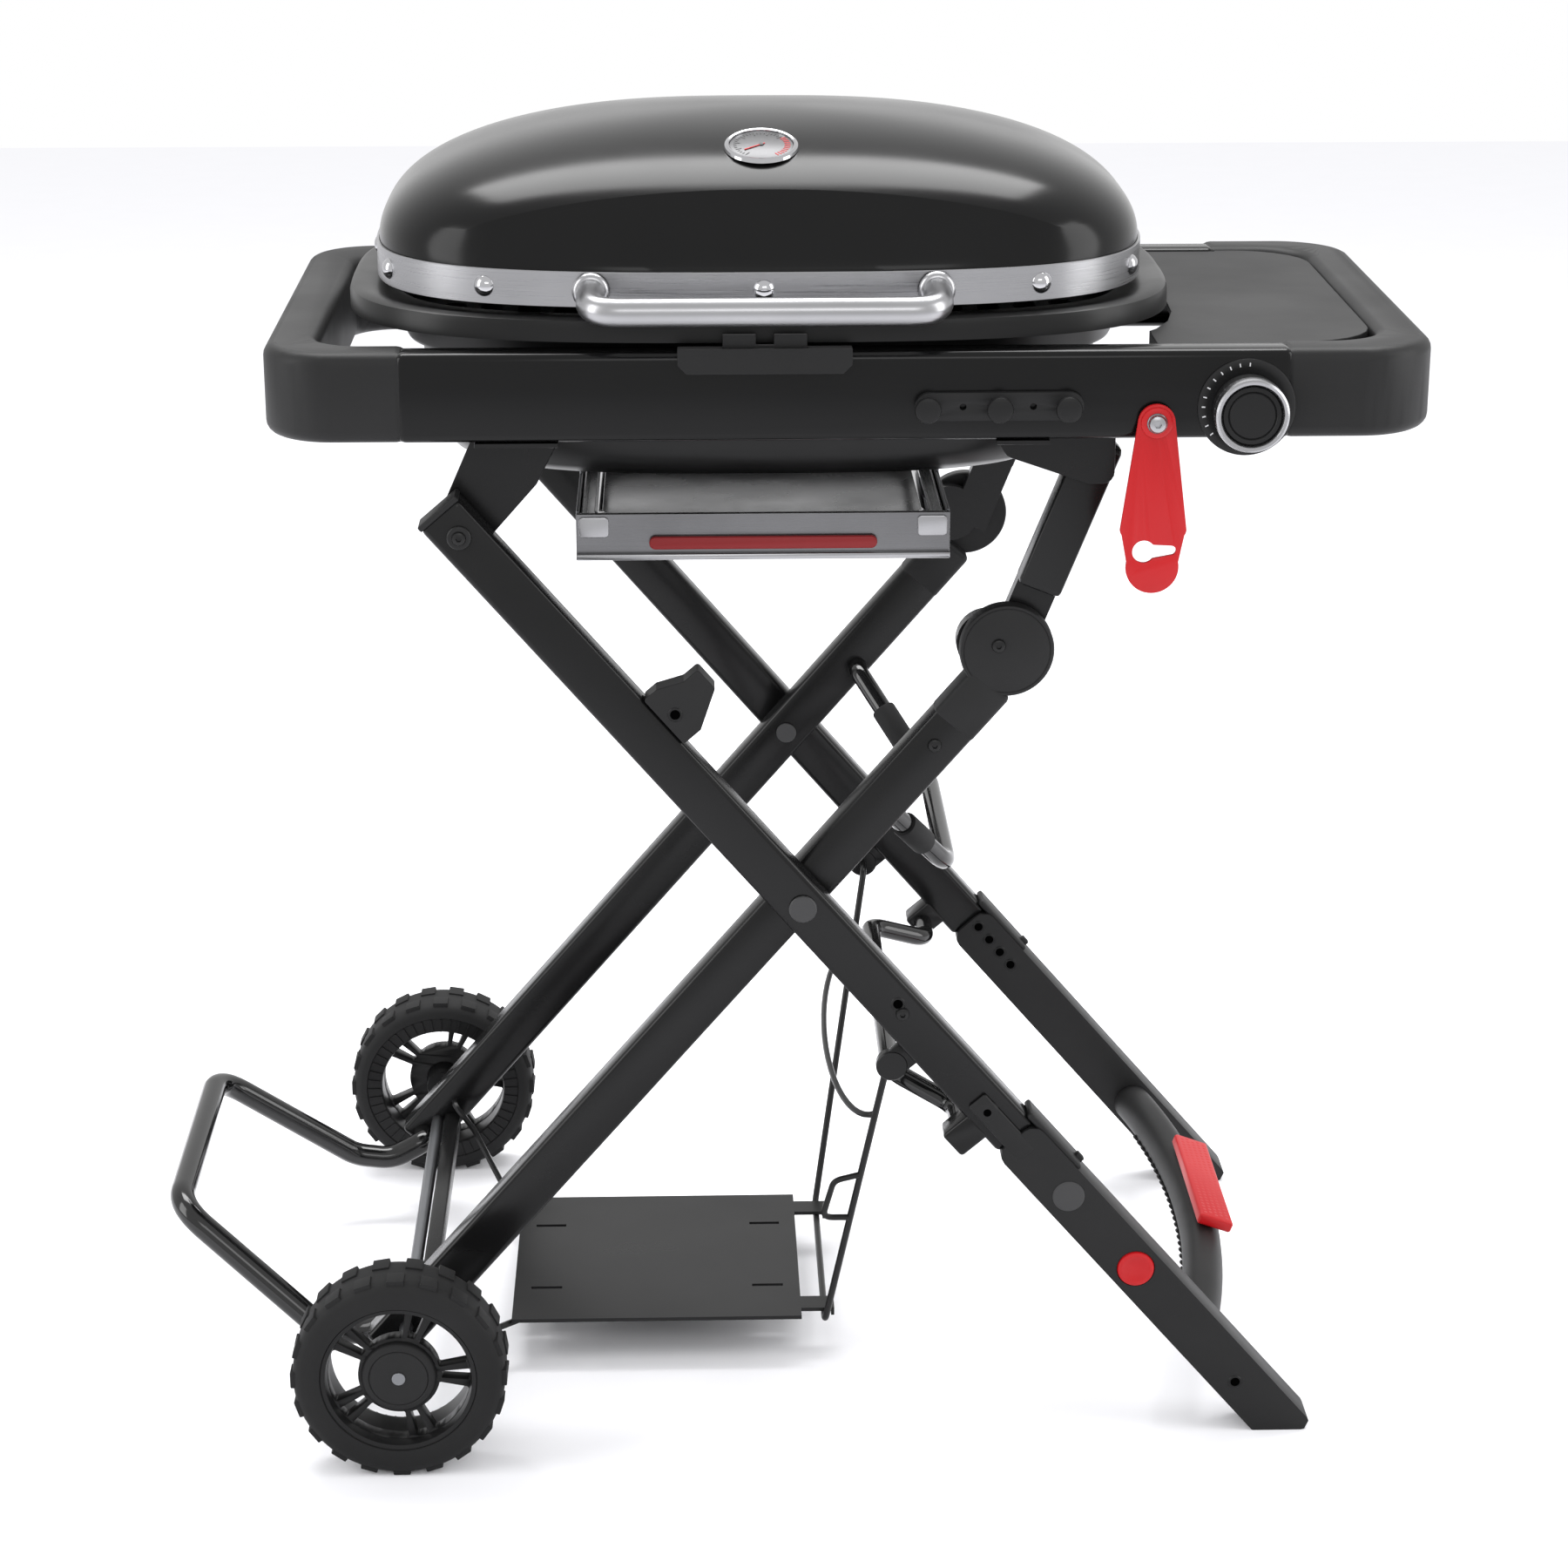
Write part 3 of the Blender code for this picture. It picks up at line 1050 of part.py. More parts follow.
# ---- wheels -----------------------------------------------------------------
def make_wheels():
    spokes = 5
    for side, sign in sides():
        body = "wheel_" + side
        outer = sign * WHEEL_OUTER
        inner_radius = RIM_RADIUS + GAP
        shoulder = 0.006
        profile = [(inner_radius, 0), (inner_radius + 0.004, 0), (WHEEL_RADIUS - shoulder, -0.002),
                   (WHEEL_RADIUS, -shoulder - 0.002),
                   (WHEEL_RADIUS, -WHEEL_WIDTH + shoulder + 0.002),
                   (WHEEL_RADIUS - shoulder, -WHEEL_WIDTH + 0.002),
                   (inner_radius + 0.004, -WHEEL_WIDTH), (inner_radius, -WHEEL_WIDTH), (inner_radius, 0)]
        tyre = turned(profile, (AXLE.x, outer, AXLE.y), (0, sign, 0), 40)
        finish(tyre, "tyre_" + side, "rubber", body)
        windows = []
        for index in range(spokes):
            middle = 2 * math.pi * (index + 0.5) / spokes + math.radians(72)
            spread = math.radians(19)
            window = []
            for radius, order in ((0.0505, (-1, 0, 1)), (HUB_RADIUS + 0.003, (1, 0, -1))):
                for step in order:
                    window.append((AXLE.x + radius * math.cos(middle + step * spread),
                                   AXLE.y + radius * math.sin(middle + step * spread)))
            windows.append(rounded(window, 0.003, 2))
        ring = [circle(AXLE, RIM_RADIUS, 40)] + windows + [circle(AXLE, PIN_RADIUS + RUNNING, 16)]
        layer = span((WHEEL_OUTER - 0.004 - RIM_WIDTH, WHEEL_OUTER - 0.004), sign)
        finish(flat(ring, *layer), "rim_" + side, "dark_plastic", body)


# ---- gas bottle shelf -------------------------------------------------------
def make_bottle_shelf():
    plate = baked(box((SHELF_X[0], -SHELF_HALF_DEPTH, SHELF_Z - SHELF_SHEET),
                      (SHELF_X[1], SHELF_HALF_DEPTH, SHELF_Z)))
    slots = []
    for x in (SHELF_X[0] + 0.025, SHELF_X[1] - 0.025):
        for y in (-0.055, 0.055):
            slots.append(box((x - 0.012, y - 0.002, SHELF_Z - 0.01), (x + 0.012, y + 0.002, SHELF_Z + 0.01)))
    plate = cut(plate, *slots)
    under = SHELF_Z - SHELF_SHEET
    outline = [(SHELF_X[1] - 0.002, SHELF_Z), (CRADLE_HOOK.x + 0.0075, SHELF_Z),
               (CRADLE_HOOK.x + 0.0075, CRADLE_HOOK.y),
               (CRADLE_HOOK.x + 0.0050, CRADLE_HOOK.y), (CRADLE_HOOK.x + 0.0050, under),
               (SHELF_X[1] - 0.002, under)]
    for y in (-0.085, 0.085):
        plate = joined(plate, flat([outline], y - 0.010, y + 0.010))
    side = INNER_LAYER[0]
    low = SHELF_Z - SHELF_SHEET - WIRE_RADIUS + 0.001
    corner = (SHELF_X[0] - 0.010, 0.112, low)
    route = [(SHELF_PIVOT.x, side + 0.010, SHELF_PIVOT.y), (SHELF_PIVOT.x, side - 0.008, SHELF_PIVOT.y),
             (SHELF_PIVOT.x + 0.016, side - 0.018, SHELF_PIVOT.y - 0.018), corner,
             (SHELF_X[0] + 0.010, 0.095, low)]
    route = route + [(x, -y, z) for x, y, z in reversed(route)]
    wire = tube(route, WIRE_RADIUS, 0.008, 2, 1)
    finish(joined(plate, wire), "bottle_shelf", "black_paint", "bottle_shelf")


def make_cradle():
    """The wire that hangs from the outer legs and hooks the shelf's free edge."""
    side = OUTER_LAYER[0]
    route = [(CRADLE_PIVOT.x, side + 0.012, CRADLE_PIVOT.y), (CRADLE_PIVOT.x, side - 0.013, CRADLE_PIVOT.y),
             (CRADLE_HOOK.x, 0.104, CRADLE_HOOK.y)]
    route = route + [(x, -y, z) for x, y, z in reversed(route)]
    finish(tube(route, WIRE_RADIUS, 0.010, 3, 1), "bottle_cradle", "black_paint", "bottle_cradle")


def make_bodies():
    make_body("root", None, 0, 0, 0)
    make_body("lid", "root", BOX_X, HINGE_Y, HINGE_Z)
    make_body("valve_stem", "root", KNOB_X, TABLE_FRONT, KNOB_Z)
    make_body("knob", "valve_stem", KNOB_X, TABLE_FRONT, KNOB_Z)
    make_body("lock_lever", "root", LEVER_X, TABLE_FRONT, LEVER_Z)
    make_body("lid_lock", "root", BOX_X, TABLE_FRONT, RAIL_TOP)
    make_body("drip_pan", "root", sum(TRAY_X) / 2, TRAY_Y[0], TRAY_Z[0])
    make_body("outer_frame", "root", FOLD.x, 0, FOLD.y)
    make_body("inner_frame", "outer_frame", SCISSOR.x, 0, SCISSOR.y)
    make_body("link", "inner_frame", KNUCKLE.x, 0, KNUCKLE.y)
    make_body("wheel_front", "inner_frame", AXLE.x, -WHEEL_OUTER, AXLE.y)
    make_body("wheel_rear", "inner_frame", AXLE.x, WHEEL_OUTER, AXLE.y)
    make_body("bottle_shelf", "inner_frame", SHELF_PIVOT.x, 0, SHELF_PIVOT.y)
    make_body("bottle_cradle", "outer_frame", CRADLE_PIVOT.x, 0, CRADLE_PIVOT.y)
    spot = outer_point(BUTTON_ALONG, 0.0)
    make_body("release_button", "outer_frame", spot.x, -FOOT_LAYER[1], spot.y)


def main():
    clear_scene()
    make_collections()
    make_materials()
    make_bodies()
    make_rails()
    make_table_ends()
    make_side_table()
    make_hook_rack()
    make_leg_brackets()
    make_firebox()
    make_grates()
    make_burner()
    make_gas_train()
    make_drip_tray()
    make_lid()
    make_lid_handle()
    make_hinges()
    make_lid_lock()
    make_knob()
    make_lock_lever()
    make_outer_legs()
    make_outer_frame_extras()
    make_inner_legs()
    make_inner_frame_extras()
    make_links()
    make_wheels()
    make_bottle_shelf()
    make_cradle()


main()
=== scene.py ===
# %% [markdown]
# # A portable gas grill on a folding cart
# This file dresses a finished mechanical model. The model is loaded as a fixed frame: every part
# already has its size, its place and its joints. Here each part gets the shape and the finish that
# the eye sees: enamel, brushed steel, moulded plastic, rubber and wire.

import json
import math

import bmesh
import bpy
from mathutils import Matrix, Vector


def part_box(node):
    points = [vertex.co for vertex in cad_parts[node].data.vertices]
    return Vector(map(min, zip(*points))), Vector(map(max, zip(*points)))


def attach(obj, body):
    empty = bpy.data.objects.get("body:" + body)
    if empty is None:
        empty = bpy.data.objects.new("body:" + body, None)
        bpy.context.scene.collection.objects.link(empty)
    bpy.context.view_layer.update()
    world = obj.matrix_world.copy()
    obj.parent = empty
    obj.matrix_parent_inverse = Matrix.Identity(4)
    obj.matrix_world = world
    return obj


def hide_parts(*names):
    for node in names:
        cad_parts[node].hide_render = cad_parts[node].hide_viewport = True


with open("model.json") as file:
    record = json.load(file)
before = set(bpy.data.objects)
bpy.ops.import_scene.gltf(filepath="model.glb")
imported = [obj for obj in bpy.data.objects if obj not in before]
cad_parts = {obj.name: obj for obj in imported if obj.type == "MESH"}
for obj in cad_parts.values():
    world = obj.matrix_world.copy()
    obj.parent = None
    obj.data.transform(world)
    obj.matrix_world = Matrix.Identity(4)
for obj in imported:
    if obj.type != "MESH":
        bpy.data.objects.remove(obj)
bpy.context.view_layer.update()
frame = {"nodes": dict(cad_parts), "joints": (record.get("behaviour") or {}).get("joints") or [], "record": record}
nodes = frame["nodes"]
joints = {joint["name"]: joint for joint in frame["joints"]}
print("parts in the frame:", len(nodes), "- joints:", len(joints))

# %% [markdown]
# ## Places taken from the frame
# Almost every place below is worked out from a part's box or from a joint's axis, so this file
# never repeats the mechanical model's numbers. `low` and `high` are a part's two corners, and
# `pivot` is the point that a joint turns about. The legs lean, so a leg's own directions are made
# from two pivots: one runs along the leg and the other across it.


# %% Corners, centres and leg directions
def low(node):
    return Vector(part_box(node)[0])


def high(node):
    return Vector(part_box(node)[1])


def centre(node):
    return (low(node) + high(node)) / 2


def pivot(joint):
    return Vector(joints[joint]["pos_m"])


def flat_direction(start, end):
    """The unit direction between two points, seen from the front."""
    step = Vector((end.x - start.x, 0, end.z - start.z))
    return step.normalized()


fold_pivot = pivot("cart_fold")
scissor_pivot = pivot("scissor_turn")
axle = pivot("wheel_front_spin")
outer_along = flat_direction(fold_pivot, scissor_pivot)
outer_across = Vector((-outer_along.z, 0, outer_along.x))
inner_along = flat_direction(axle, scissor_pivot)
inner_across = Vector((-inner_along.z, 0, inner_along.x))


def on_outer_leg(along, across, y):
    spot = fold_pivot + outer_along * along + outer_across * across
    return Vector((spot.x, y, spot.z))


def on_inner_leg(along, across, y):
    spot = scissor_pivot + inner_along * along + inner_across * across
    return Vector((spot.x, y, spot.z))


sides = (("front", -1), ("rear", 1))
print("outer legs lean", round(math.degrees(math.asin(-outer_along.z)), 1), "degrees")

# %% [markdown]
# ## The camera and the light
# The grill is seen from a little above and from far away, which keeps its upright lines nearly
# parallel. Four large soft lamps stand round it like the panels of a product studio: a wide one
# overhead draws the long highlight on the lid, one at each side outlines the tubes, and a weak one
# high in front keeps the black parts from closing up. The floor and the world are almost white.

# %% Camera
camera_data = bpy.data.cameras.new("camera")
camera_data.lens = 82.07
camera_data.sensor_width = 36
camera = bpy.data.objects.new("camera", camera_data)
camera.location = (-0.058, -2.5682, 1.3038)
camera.rotation_euler = (math.radians(71.21), 0, math.radians(-1.65))
bpy.context.scene.collection.objects.link(camera)
bpy.context.scene.camera = camera


# %% Lamps and floor
def lamp(name, place, target, size, power, tint=(1, 1, 1)):
    """A soft rectangular lamp that faces a target."""
    data = bpy.data.lights.new(name, "AREA")
    data.shape = "RECTANGLE"
    data.size, data.size_y = size
    data.energy = power
    data.color = tint
    obj = bpy.data.objects.new(name, data)
    obj.location = place
    obj.rotation_euler = (Vector(target) - Vector(place)).to_track_quat("-Z", "Y").to_euler()
    bpy.context.scene.collection.objects.link(obj)


lamp("overhead", (0.0, 0.9, 3.0), (0, 0, 0.9), (2.6, 1.1), 90)
lamp("left_panel", (-2.6, -0.9, 1.6), (0, 0, 0.6), (1.2, 2.4), 36)
lamp("right_panel", (2.6, -0.6, 1.5), (0, 0, 0.6), (1.2, 2.4), 36)
lamp("front_fill", (0.3, -3.6, 2.6), (0, 0, 0.5), (2.4, 0.9), 18)

world = bpy.data.worlds.new("studio")
bpy.context.scene.world = world
world.use_nodes = True
world.node_tree.nodes["Background"].inputs["Color"].default_value = (1.0, 1.0, 1.0, 1)
bpy.context.scene.view_settings.view_transform = "Standard"

# %% [markdown]
# ## Shared shader effects
# Three small node groups are used by many finishes. `grain` is the fine texture of a mould or of
# powder paint. `handling` is the faint cloudiness that dust and hands leave on a glossy surface,
# and it varies the roughness. `brushing` is the fine parallel scratches of brushed steel: noise
# that is stretched a long way in one direction. Each one puts out only a value.


# %% Node groups
def group(name, inputs, outputs):
    tree = bpy.data.node_groups.new(name, "ShaderNodeTree")
    for label, start in inputs:
        socket = tree.interface.new_socket(label, in_out="INPUT", socket_type="NodeSocketFloat")
        socket.default_value = start
    for label in outputs:
        tree.interface.new_socket(label, in_out="OUTPUT", socket_type="NodeSocketFloat")
    return tree, tree.nodes.new("NodeGroupInput"), tree.nodes.new("NodeGroupOutput")


def stretched_noise(tree, scale_socket, stretch, detail):
    """Noise on Object coordinates, stretched by a vector."""
    place = tree.nodes.new("ShaderNodeTexCoord")
    mapping = tree.nodes.new("ShaderNodeMapping")
    mapping.inputs["Scale"].default_value = stretch
    noise = tree.nodes.new("ShaderNodeTexNoise")
    noise.inputs["Detail"].default_value = detail
    tree.links.new(place.outputs["Object"], mapping.inputs["Vector"])
    tree.links.new(mapping.outputs["Vector"], noise.inputs["Vector"])
    tree.links.new(scale_socket, noise.inputs["Scale"])
    return noise.outputs["Fac"]


def between(tree, value, least, most):
    """A 0 to 1 value, spread between two others."""
    spread = tree.nodes.new("ShaderNodeMapRange")
    spread.inputs["From Min"].default_value = 0.3
    spread.inputs["From Max"].default_value = 0.7
    tree.links.new(value, spread.inputs["Value"])
    tree.links.new(least, spread.inputs["To Min"])
    tree.links.new(most, spread.inputs["To Max"])
    return spread.outputs["Result"]


grain, given, result = group("grain", [("Scale", 900.0)], ["Height"])
grain.links.new(stretched_noise(grain, given.outputs["Scale"], (1, 1, 1), 3), result.inputs["Height"])

handling, given, result = group("handling", [("Scale", 9.0), ("Least", 0.2), ("Most", 0.3)], ["Roughness"])
cloud = stretched_noise(handling, given.outputs["Scale"], (1, 1, 1.6), 5)
spread = between(handling, cloud, given.outputs["Least"], given.outputs["Most"])
handling.links.new(spread, result.inputs["Roughness"])

brushing, given, result = group("brushing", [("Scale", 60.0), ("Least", 0.2), ("Most", 0.4)],
                                ["Roughness", "Height"])
lines = stretched_noise(brushing, given.outputs["Scale"], (0.35, 0.35, 22), 4)
brushing.links.new(between(brushing, lines, given.outputs["Least"], given.outputs["Most"]),
                   result.inputs["Roughness"])
brushing.links.new(lines, result.inputs["Height"])
print("shader groups:", [tree.name for tree in (grain, handling, brushing)])

# %% [markdown]
# ## Finishes
# A finish is one Principled material. The helper below gives it a colour that drifts a little from
# place to place, a roughness from one of the groups, and a bump. A plain number such as the coat
# or the metal share is set on the shader's own socket.


# %% The finish maker
def placed(tree, shared, **values):
    """A shared group, placed in a material with its own values."""
    node = tree.nodes.new("ShaderNodeGroup")
    node.node_tree = shared
    for label, value in values.items():
        node.inputs[label].default_value = value
    return node


def finish(name, dark, light, rough, metal=0.0, coat=0.0, bump=0.0, bump_scale=900.0, shared=handling,
           scale=9.0,
           shine=0.5):
    """A material whose colour runs between two tones and whose roughness runs between two values."""
    material = bpy.data.materials.new(name)
    material.use_nodes = True
    tree = material.node_tree
    shader = tree.nodes["Principled BSDF"]
    shader.inputs["Metallic"].default_value = metal
    shader.inputs["Specular IOR Level"].default_value = shine
    shader.inputs["Coat Weight"].default_value = coat
    shader.inputs["Coat Roughness"].default_value = 0.08
    surface = placed(tree, shared, Scale=scale, Least=rough[0], Most=rough[1])
    tree.links.new(surface.outputs["Roughness"], shader.inputs["Roughness"])
    place = tree.nodes.new("ShaderNodeTexCoord")
    drift = tree.nodes.new("ShaderNodeTexNoise")
    drift.inputs["Scale"].default_value = 14
    drift.inputs["Detail"].default_value = 4
    tree.links.new(place.outputs["Object"], drift.inputs["Vector"])
    tones = tree.nodes.new("ShaderNodeMix")
    tones.data_type = "RGBA"
    tones.inputs["A"].default_value = (*dark, 1)
    tones.inputs["B"].default_value = (*light, 1)
    tree.links.new(drift.outputs["Fac"], tones.inputs["Factor"])
    tree.links.new(tones.outputs["Result"], shader.inputs["Base Color"])
    if bump:
        relief = tree.nodes.new("ShaderNodeBump")
        relief.inputs["Strength"].default_value = bump
        relief.inputs["Distance"].default_value = 0.0002
        if shared is brushing:
            height = surface.outputs["Height"]
        else:
            height = placed(tree, grain, Scale=bump_scale).outputs["Height"]
        tree.links.new(height, relief.inputs["Height"])
        tree.links.new(relief.outputs["Normal"], shader.inputs["Normal"])
    material.diffuse_color = (*light, 1)
    return material


def grey(value):
    return (value, value, value * 1.03)


enamel = finish("lid_enamel", grey(0.0028), grey(0.0045), (0.16, 0.22), bump=0.03, bump_scale=420, shine=0.18)
belly = finish("belly_enamel", grey(0.003), grey(0.006), (0.28, 0.42), bump=0.06, bump_scale=500, shine=0.24)
rail_gloss = finish("rail_paint", grey(0.0025), grey(0.004), (0.14, 0.20), bump=0.02, bump_scale=300,
                    shine=0.2)
tube_paint = finish("tube_paint", grey(0.004), grey(0.007), (0.20, 0.30), bump=0.05, bump_scale=650,
                    shine=0.22)
round_paint = finish("round_tube_paint", grey(0.003), grey(0.005), (0.10, 0.16), bump=0.03, bump_scale=650,
                     shine=0.5)
wire_paint = finish("wire_paint", grey(0.006), grey(0.010), (0.26, 0.38), bump=0.06, bump_scale=700,
                    shine=0.24)
moulded = finish("moulded_plastic", grey(0.008), grey(0.013), (0.46, 0.58), bump=0.22, bump_scale=1100,
                 shine=0.22)
moulded_smooth = finish("smooth_plastic", grey(0.006), grey(0.010), (0.34, 0.44), bump=0.10, bump_scale=1300,
                        shine=0.2)
cap_grey = finish("cap_plastic", grey(0.030), grey(0.042), (0.42, 0.52), bump=0.15, bump_scale=1300,
                  shine=0.3)
brushed = finish("brushed_steel", grey(0.27), grey(0.35), (0.24, 0.38), metal=1, bump=0.14, shared=brushing,
                 scale=60)
satin = finish("satin_steel", grey(0.30), grey(0.38), (0.26, 0.34), metal=1, bump=0.05, bump_scale=1500)
chrome = finish("chrome", grey(0.42), grey(0.50), (0.08, 0.14), metal=1)
zinc = finish("zinc_plate", (0.15, 0.155, 0.165), (0.24, 0.245, 0.255), (0.28, 0.44), metal=1, bump=0.10,
              bump_scale=240)
pan_steel = finish("pan_steel", grey(0.12), grey(0.19), (0.20, 0.34), metal=1, bump=0.06, shared=brushing,
                   scale=40)
iron = finish("cast_iron", grey(0.010), grey(0.020), (0.45, 0.60), bump=0.55, bump_scale=420, shine=0.3)
brass = finish("turned_brass", (0.52, 0.36, 0.14), (0.66, 0.49, 0.22), (0.22, 0.34), metal=1, bump=0.06)
red = finish("red_plastic", (0.38, 0.003, 0.005), (0.45, 0.006, 0.009), (0.34, 0.46), bump=0.08,
             bump_scale=1300, shine=0.3)
dark_red = finish("dark_red_plastic", (0.17, 0.006, 0.008), (0.22, 0.010, 0.012), (0.34, 0.46), bump=0.08,
                  shine=0.3)
rubber = finish("rubber", grey(0.008), grey(0.013), (0.60, 0.76), bump=0.30, bump_scale=800, shine=0.2)
floor_paint = finish("floor_paint", grey(0.90), grey(0.92), (0.80, 0.88), bump=0.02, bump_scale=60, shine=0.0)
print("finishes:", len(bpy.data.materials))

# %% Floor
bm = bmesh.new()
bmesh.ops.create_grid(bm, x_segments=1, y_segments=1, size=6)
floor_mesh = bpy.data.meshes.new("floor")
bm.to_mesh(floor_mesh)
bm.free()
floor = bpy.data.objects.new("floor", floor_mesh)
floor.data.materials.append(floor_paint)
bpy.context.scene.collection.objects.link(floor)

# %% [markdown]
# ## Shape makers
# Five helpers make nearly every shape. `lathe` turns an outline on an axis, as a lathe does.
# `sweep` bends a round tube along a route. `slab` cuts an outline out of plate, with holes.
# `loft` skins a row of rings. `refined` takes a mechanical part, welds its loose triangles
# into clean faces and rounds its edges, which is enough for a plain bracket or tube.


# %% Shape makers
def new_object(name, mesh):
    obj = bpy.data.objects.new(name, mesh)
    bpy.context.scene.collection.objects.link(obj)
    return obj


def from_bmesh(name, bm, crease=38):
    """A mesh object that is smooth, except where its faces meet at more than the crease angle."""
    for face in bm.faces:
        face.smooth = True
    for edge in bm.edges:
        edge.smooth = len(edge.link_faces) == 2 and edge.calc_face_angle(0) < math.radians(crease)
    mesh = bpy.data.meshes.new(name)
    bm.to_mesh(mesh)
    bm.free()
    return new_object(name, mesh)


def baked(obj, crease=38):
    """The object with its modifiers and its place made part of its mesh."""
    bpy.context.view_layer.update()
    graph = bpy.context.evaluated_depsgraph_get()
    mesh = bpy.data.meshes.new_from_object(obj.evaluated_get(graph))
    mesh.transform(obj.matrix_world)
    bm = bmesh.new()
    bm.from_mesh(mesh)
    name = obj.name
    bpy.data.objects.remove(obj, do_unlink=True)
    bpy.data.meshes.remove(mesh)
    bmesh.ops.remove_doubles(bm, verts=bm.verts, dist=0.000005)
    return from_bmesh(name, bm, crease)


def soft_edges(obj, width, segments=3, angle=35):
    """Rounded edges, with shading that keeps the flat faces flat."""
    bevel = obj.modifiers.new("rounded", "BEVEL")
    bevel.width = width
    bevel.segments = segments
    bevel.limit_method = "ANGLE"
    bevel.angle_limit = math.radians(angle)
    bevel.harden_normals = True
    return obj


def frame_to(direction, start):
    return Matrix.Translation(start) @ Vector(direction).to_track_quat("Z", "Y").to_matrix().to_4x4()


def lathe(name, profile, start, direction, steps=64):
    """Turns (radius, along) points on an axis. A point of radius 0 becomes a pole."""
    bm = bmesh.new()
    turns = [2 * math.pi * step / steps for step in range(steps)]
    rings = []
    for radius, along in profile:
        if radius < 1e-7:
            rings.append([bm.verts.new((0, 0, along))] * steps)
        else:
            rings.append([bm.verts.new((radius * math.cos(a), radius * math.sin(a), along)) for a in turns])
    for ring, after in zip(rings, rings[1:]):
        for step in range(steps):
            far = (step + 1) % steps
            corners = [ring[step], ring[far], after[far], after[step]]
            bm.faces.new(list(dict.fromkeys(corners)))
    bmesh.ops.remove_doubles(bm, verts=bm.verts, dist=0.0000005)
    bmesh.ops.recalc_face_normals(bm, faces=bm.faces)
    bmesh.ops.transform(bm, matrix=frame_to(direction, start), verts=bm.verts)
    return from_bmesh(name, bm)


def rounded_route(points, bend, steps=8):
    """An open route with its inner corners rounded."""
    route = [Vector(points[0])]
    for before, corner, after in zip(points, points[1:], points[2:]):
        before, corner, after = Vector(before), Vector(corner), Vector(after)
        back, on = before - corner, after - corner
        angle = back.angle(on)
        if angle > math.radians(176):
            route.append(corner)
            continue
        reach = min(bend / math.tan(angle / 2), back.length * 0.48, on.length * 0.48)
        first, last = corner + back.normalized() * reach, corner + on.normalized() * reach
        for step in range(steps + 1):
            share = step / steps
            route.append(first.lerp(corner, share).lerp(corner.lerp(last, share), share))
    route.append(Vector(points[-1]))
    return route


def sweep(name, points, radius, bend=0.0, steps=8, resolution=6):
    """A round bar or tube along a route, with closed ends."""
    route = rounded_route(points, bend, steps) if bend else [Vector(point) for point in points]
    curve = bpy.data.curves.new(name, "CURVE")
    curve.dimensions = "3D"
    curve.bevel_depth = radius
    curve.bevel_resolution = resolution
    curve.use_fill_caps = True
    spline = curve.splines.new("POLY")
    spline.points.add(len(route) - 1)
    for point, spot in zip(spline.points, route):
        point.co = (*spot, 1)
    return baked(new_object(name, curve), 50)


def rounded_outline(points, radius, steps=6):
    """A closed outline with its corners rounded. The radius may be given for each corner."""
    radii = radius if isinstance(radius, (list, tuple)) else [radius] * len(points)
    result = []
    for index, corner in enumerate(points):
        corner = Vector(corner)
        before = Vector(points[index - 1]) - corner
        after = Vector(points[(index + 1) % len(points)]) - corner
        angle = before.angle(after)
        if radii[index] <= 0 or angle > math.radians(178):
            result.append(tuple(corner))
            continue
        reach = min(radii[index] / math.tan(angle / 2), before.length * 0.49, after.length * 0.49)
        size = reach * math.tan(angle / 2)
        middle = corner + (before.normalized() + after.normalized()).normalized() * size / math.sin(angle / 2)
        first = corner + before.normalized() * reach - middle
        last = corner + after.normalized() * reach - middle
        for step in range(steps + 1):
            result.append(tuple(middle + first.lerp(last, step / steps).normalized() * size))
    return result


def round_hole(middle, radius, steps=32):
    turns = [2 * math.pi * step / steps for step in range(steps)]
    return [(middle[0] + radius * math.cos(a), middle[1] + radius * math.sin(a)) for a in turns]


PLANES = {
    "XZ": Matrix.Rotation(math.pi / 2, 4, "X"),
    "YZ": Matrix.Rotation(math.pi / 2, 4, "Z") @ Matrix.Rotation(math.pi / 2, 4, "X"),
    "XY": Matrix.Identity(4),
}


def slab(name, outlines, start, end, plane="XZ", edge=0.0, segments=3, angle=35):
    """Plate between two depths, cut to an outline with holes, with rounded edges."""
    curve = bpy.data.curves.new(name, "CURVE")
    curve.dimensions = "2D"
    curve.fill_mode = "BOTH"
    curve.extrude = (end - start) / 2
    for outline in outlines:
        spline = curve.splines.new("POLY")
        spline.points.add(len(outline) - 1)
        for point, (across, up) in zip(spline.points, outline):
            point.co = (across, up, 0, 1)
        spline.use_cyclic_u = True
    obj = new_object(name, curve)
    middle = (start + end) / 2
    shift = {"XZ": (0, middle, 0), "YZ": (middle, 0, 0), "XY": (0, 0, middle)}[plane]
    obj.matrix_world = Matrix.Translation(shift) @ PLANES[plane]
    obj = baked(obj)
    bm = bmesh.new()
    bm.from_mesh(obj.data)
    bmesh.ops.dissolve_limit(bm, angle_limit=math.radians(0.5), verts=bm.verts, edges=bm.edges)
    bmesh.ops.recalc_face_normals(bm, faces=bm.faces)
    bm.to_mesh(obj.data)
    bm.free()
    return soft_edges(obj, edge, segments, angle) if edge else obj


def loft(name, rings, close_first=False, close_last=False):
    """A skin over rings of points that all have the same count."""
    bm = bmesh.new()
    made = [[bm.verts.new(point) for point in ring] for ring in rings]
    count = len(made[0])
    for ring, after in zip(made, made[1:]):
        for step in range(count):
            far = (step + 1) % count
            bm.faces.new((ring[step], ring[far], after[far], after[step]))
    if close_first:
        bm.faces.new(made[0])
    if close_last:
        bm.faces.new(made[-1])
    bmesh.ops.recalc_face_normals(bm, faces=bm.faces)
    return from_bmesh(name, bm)


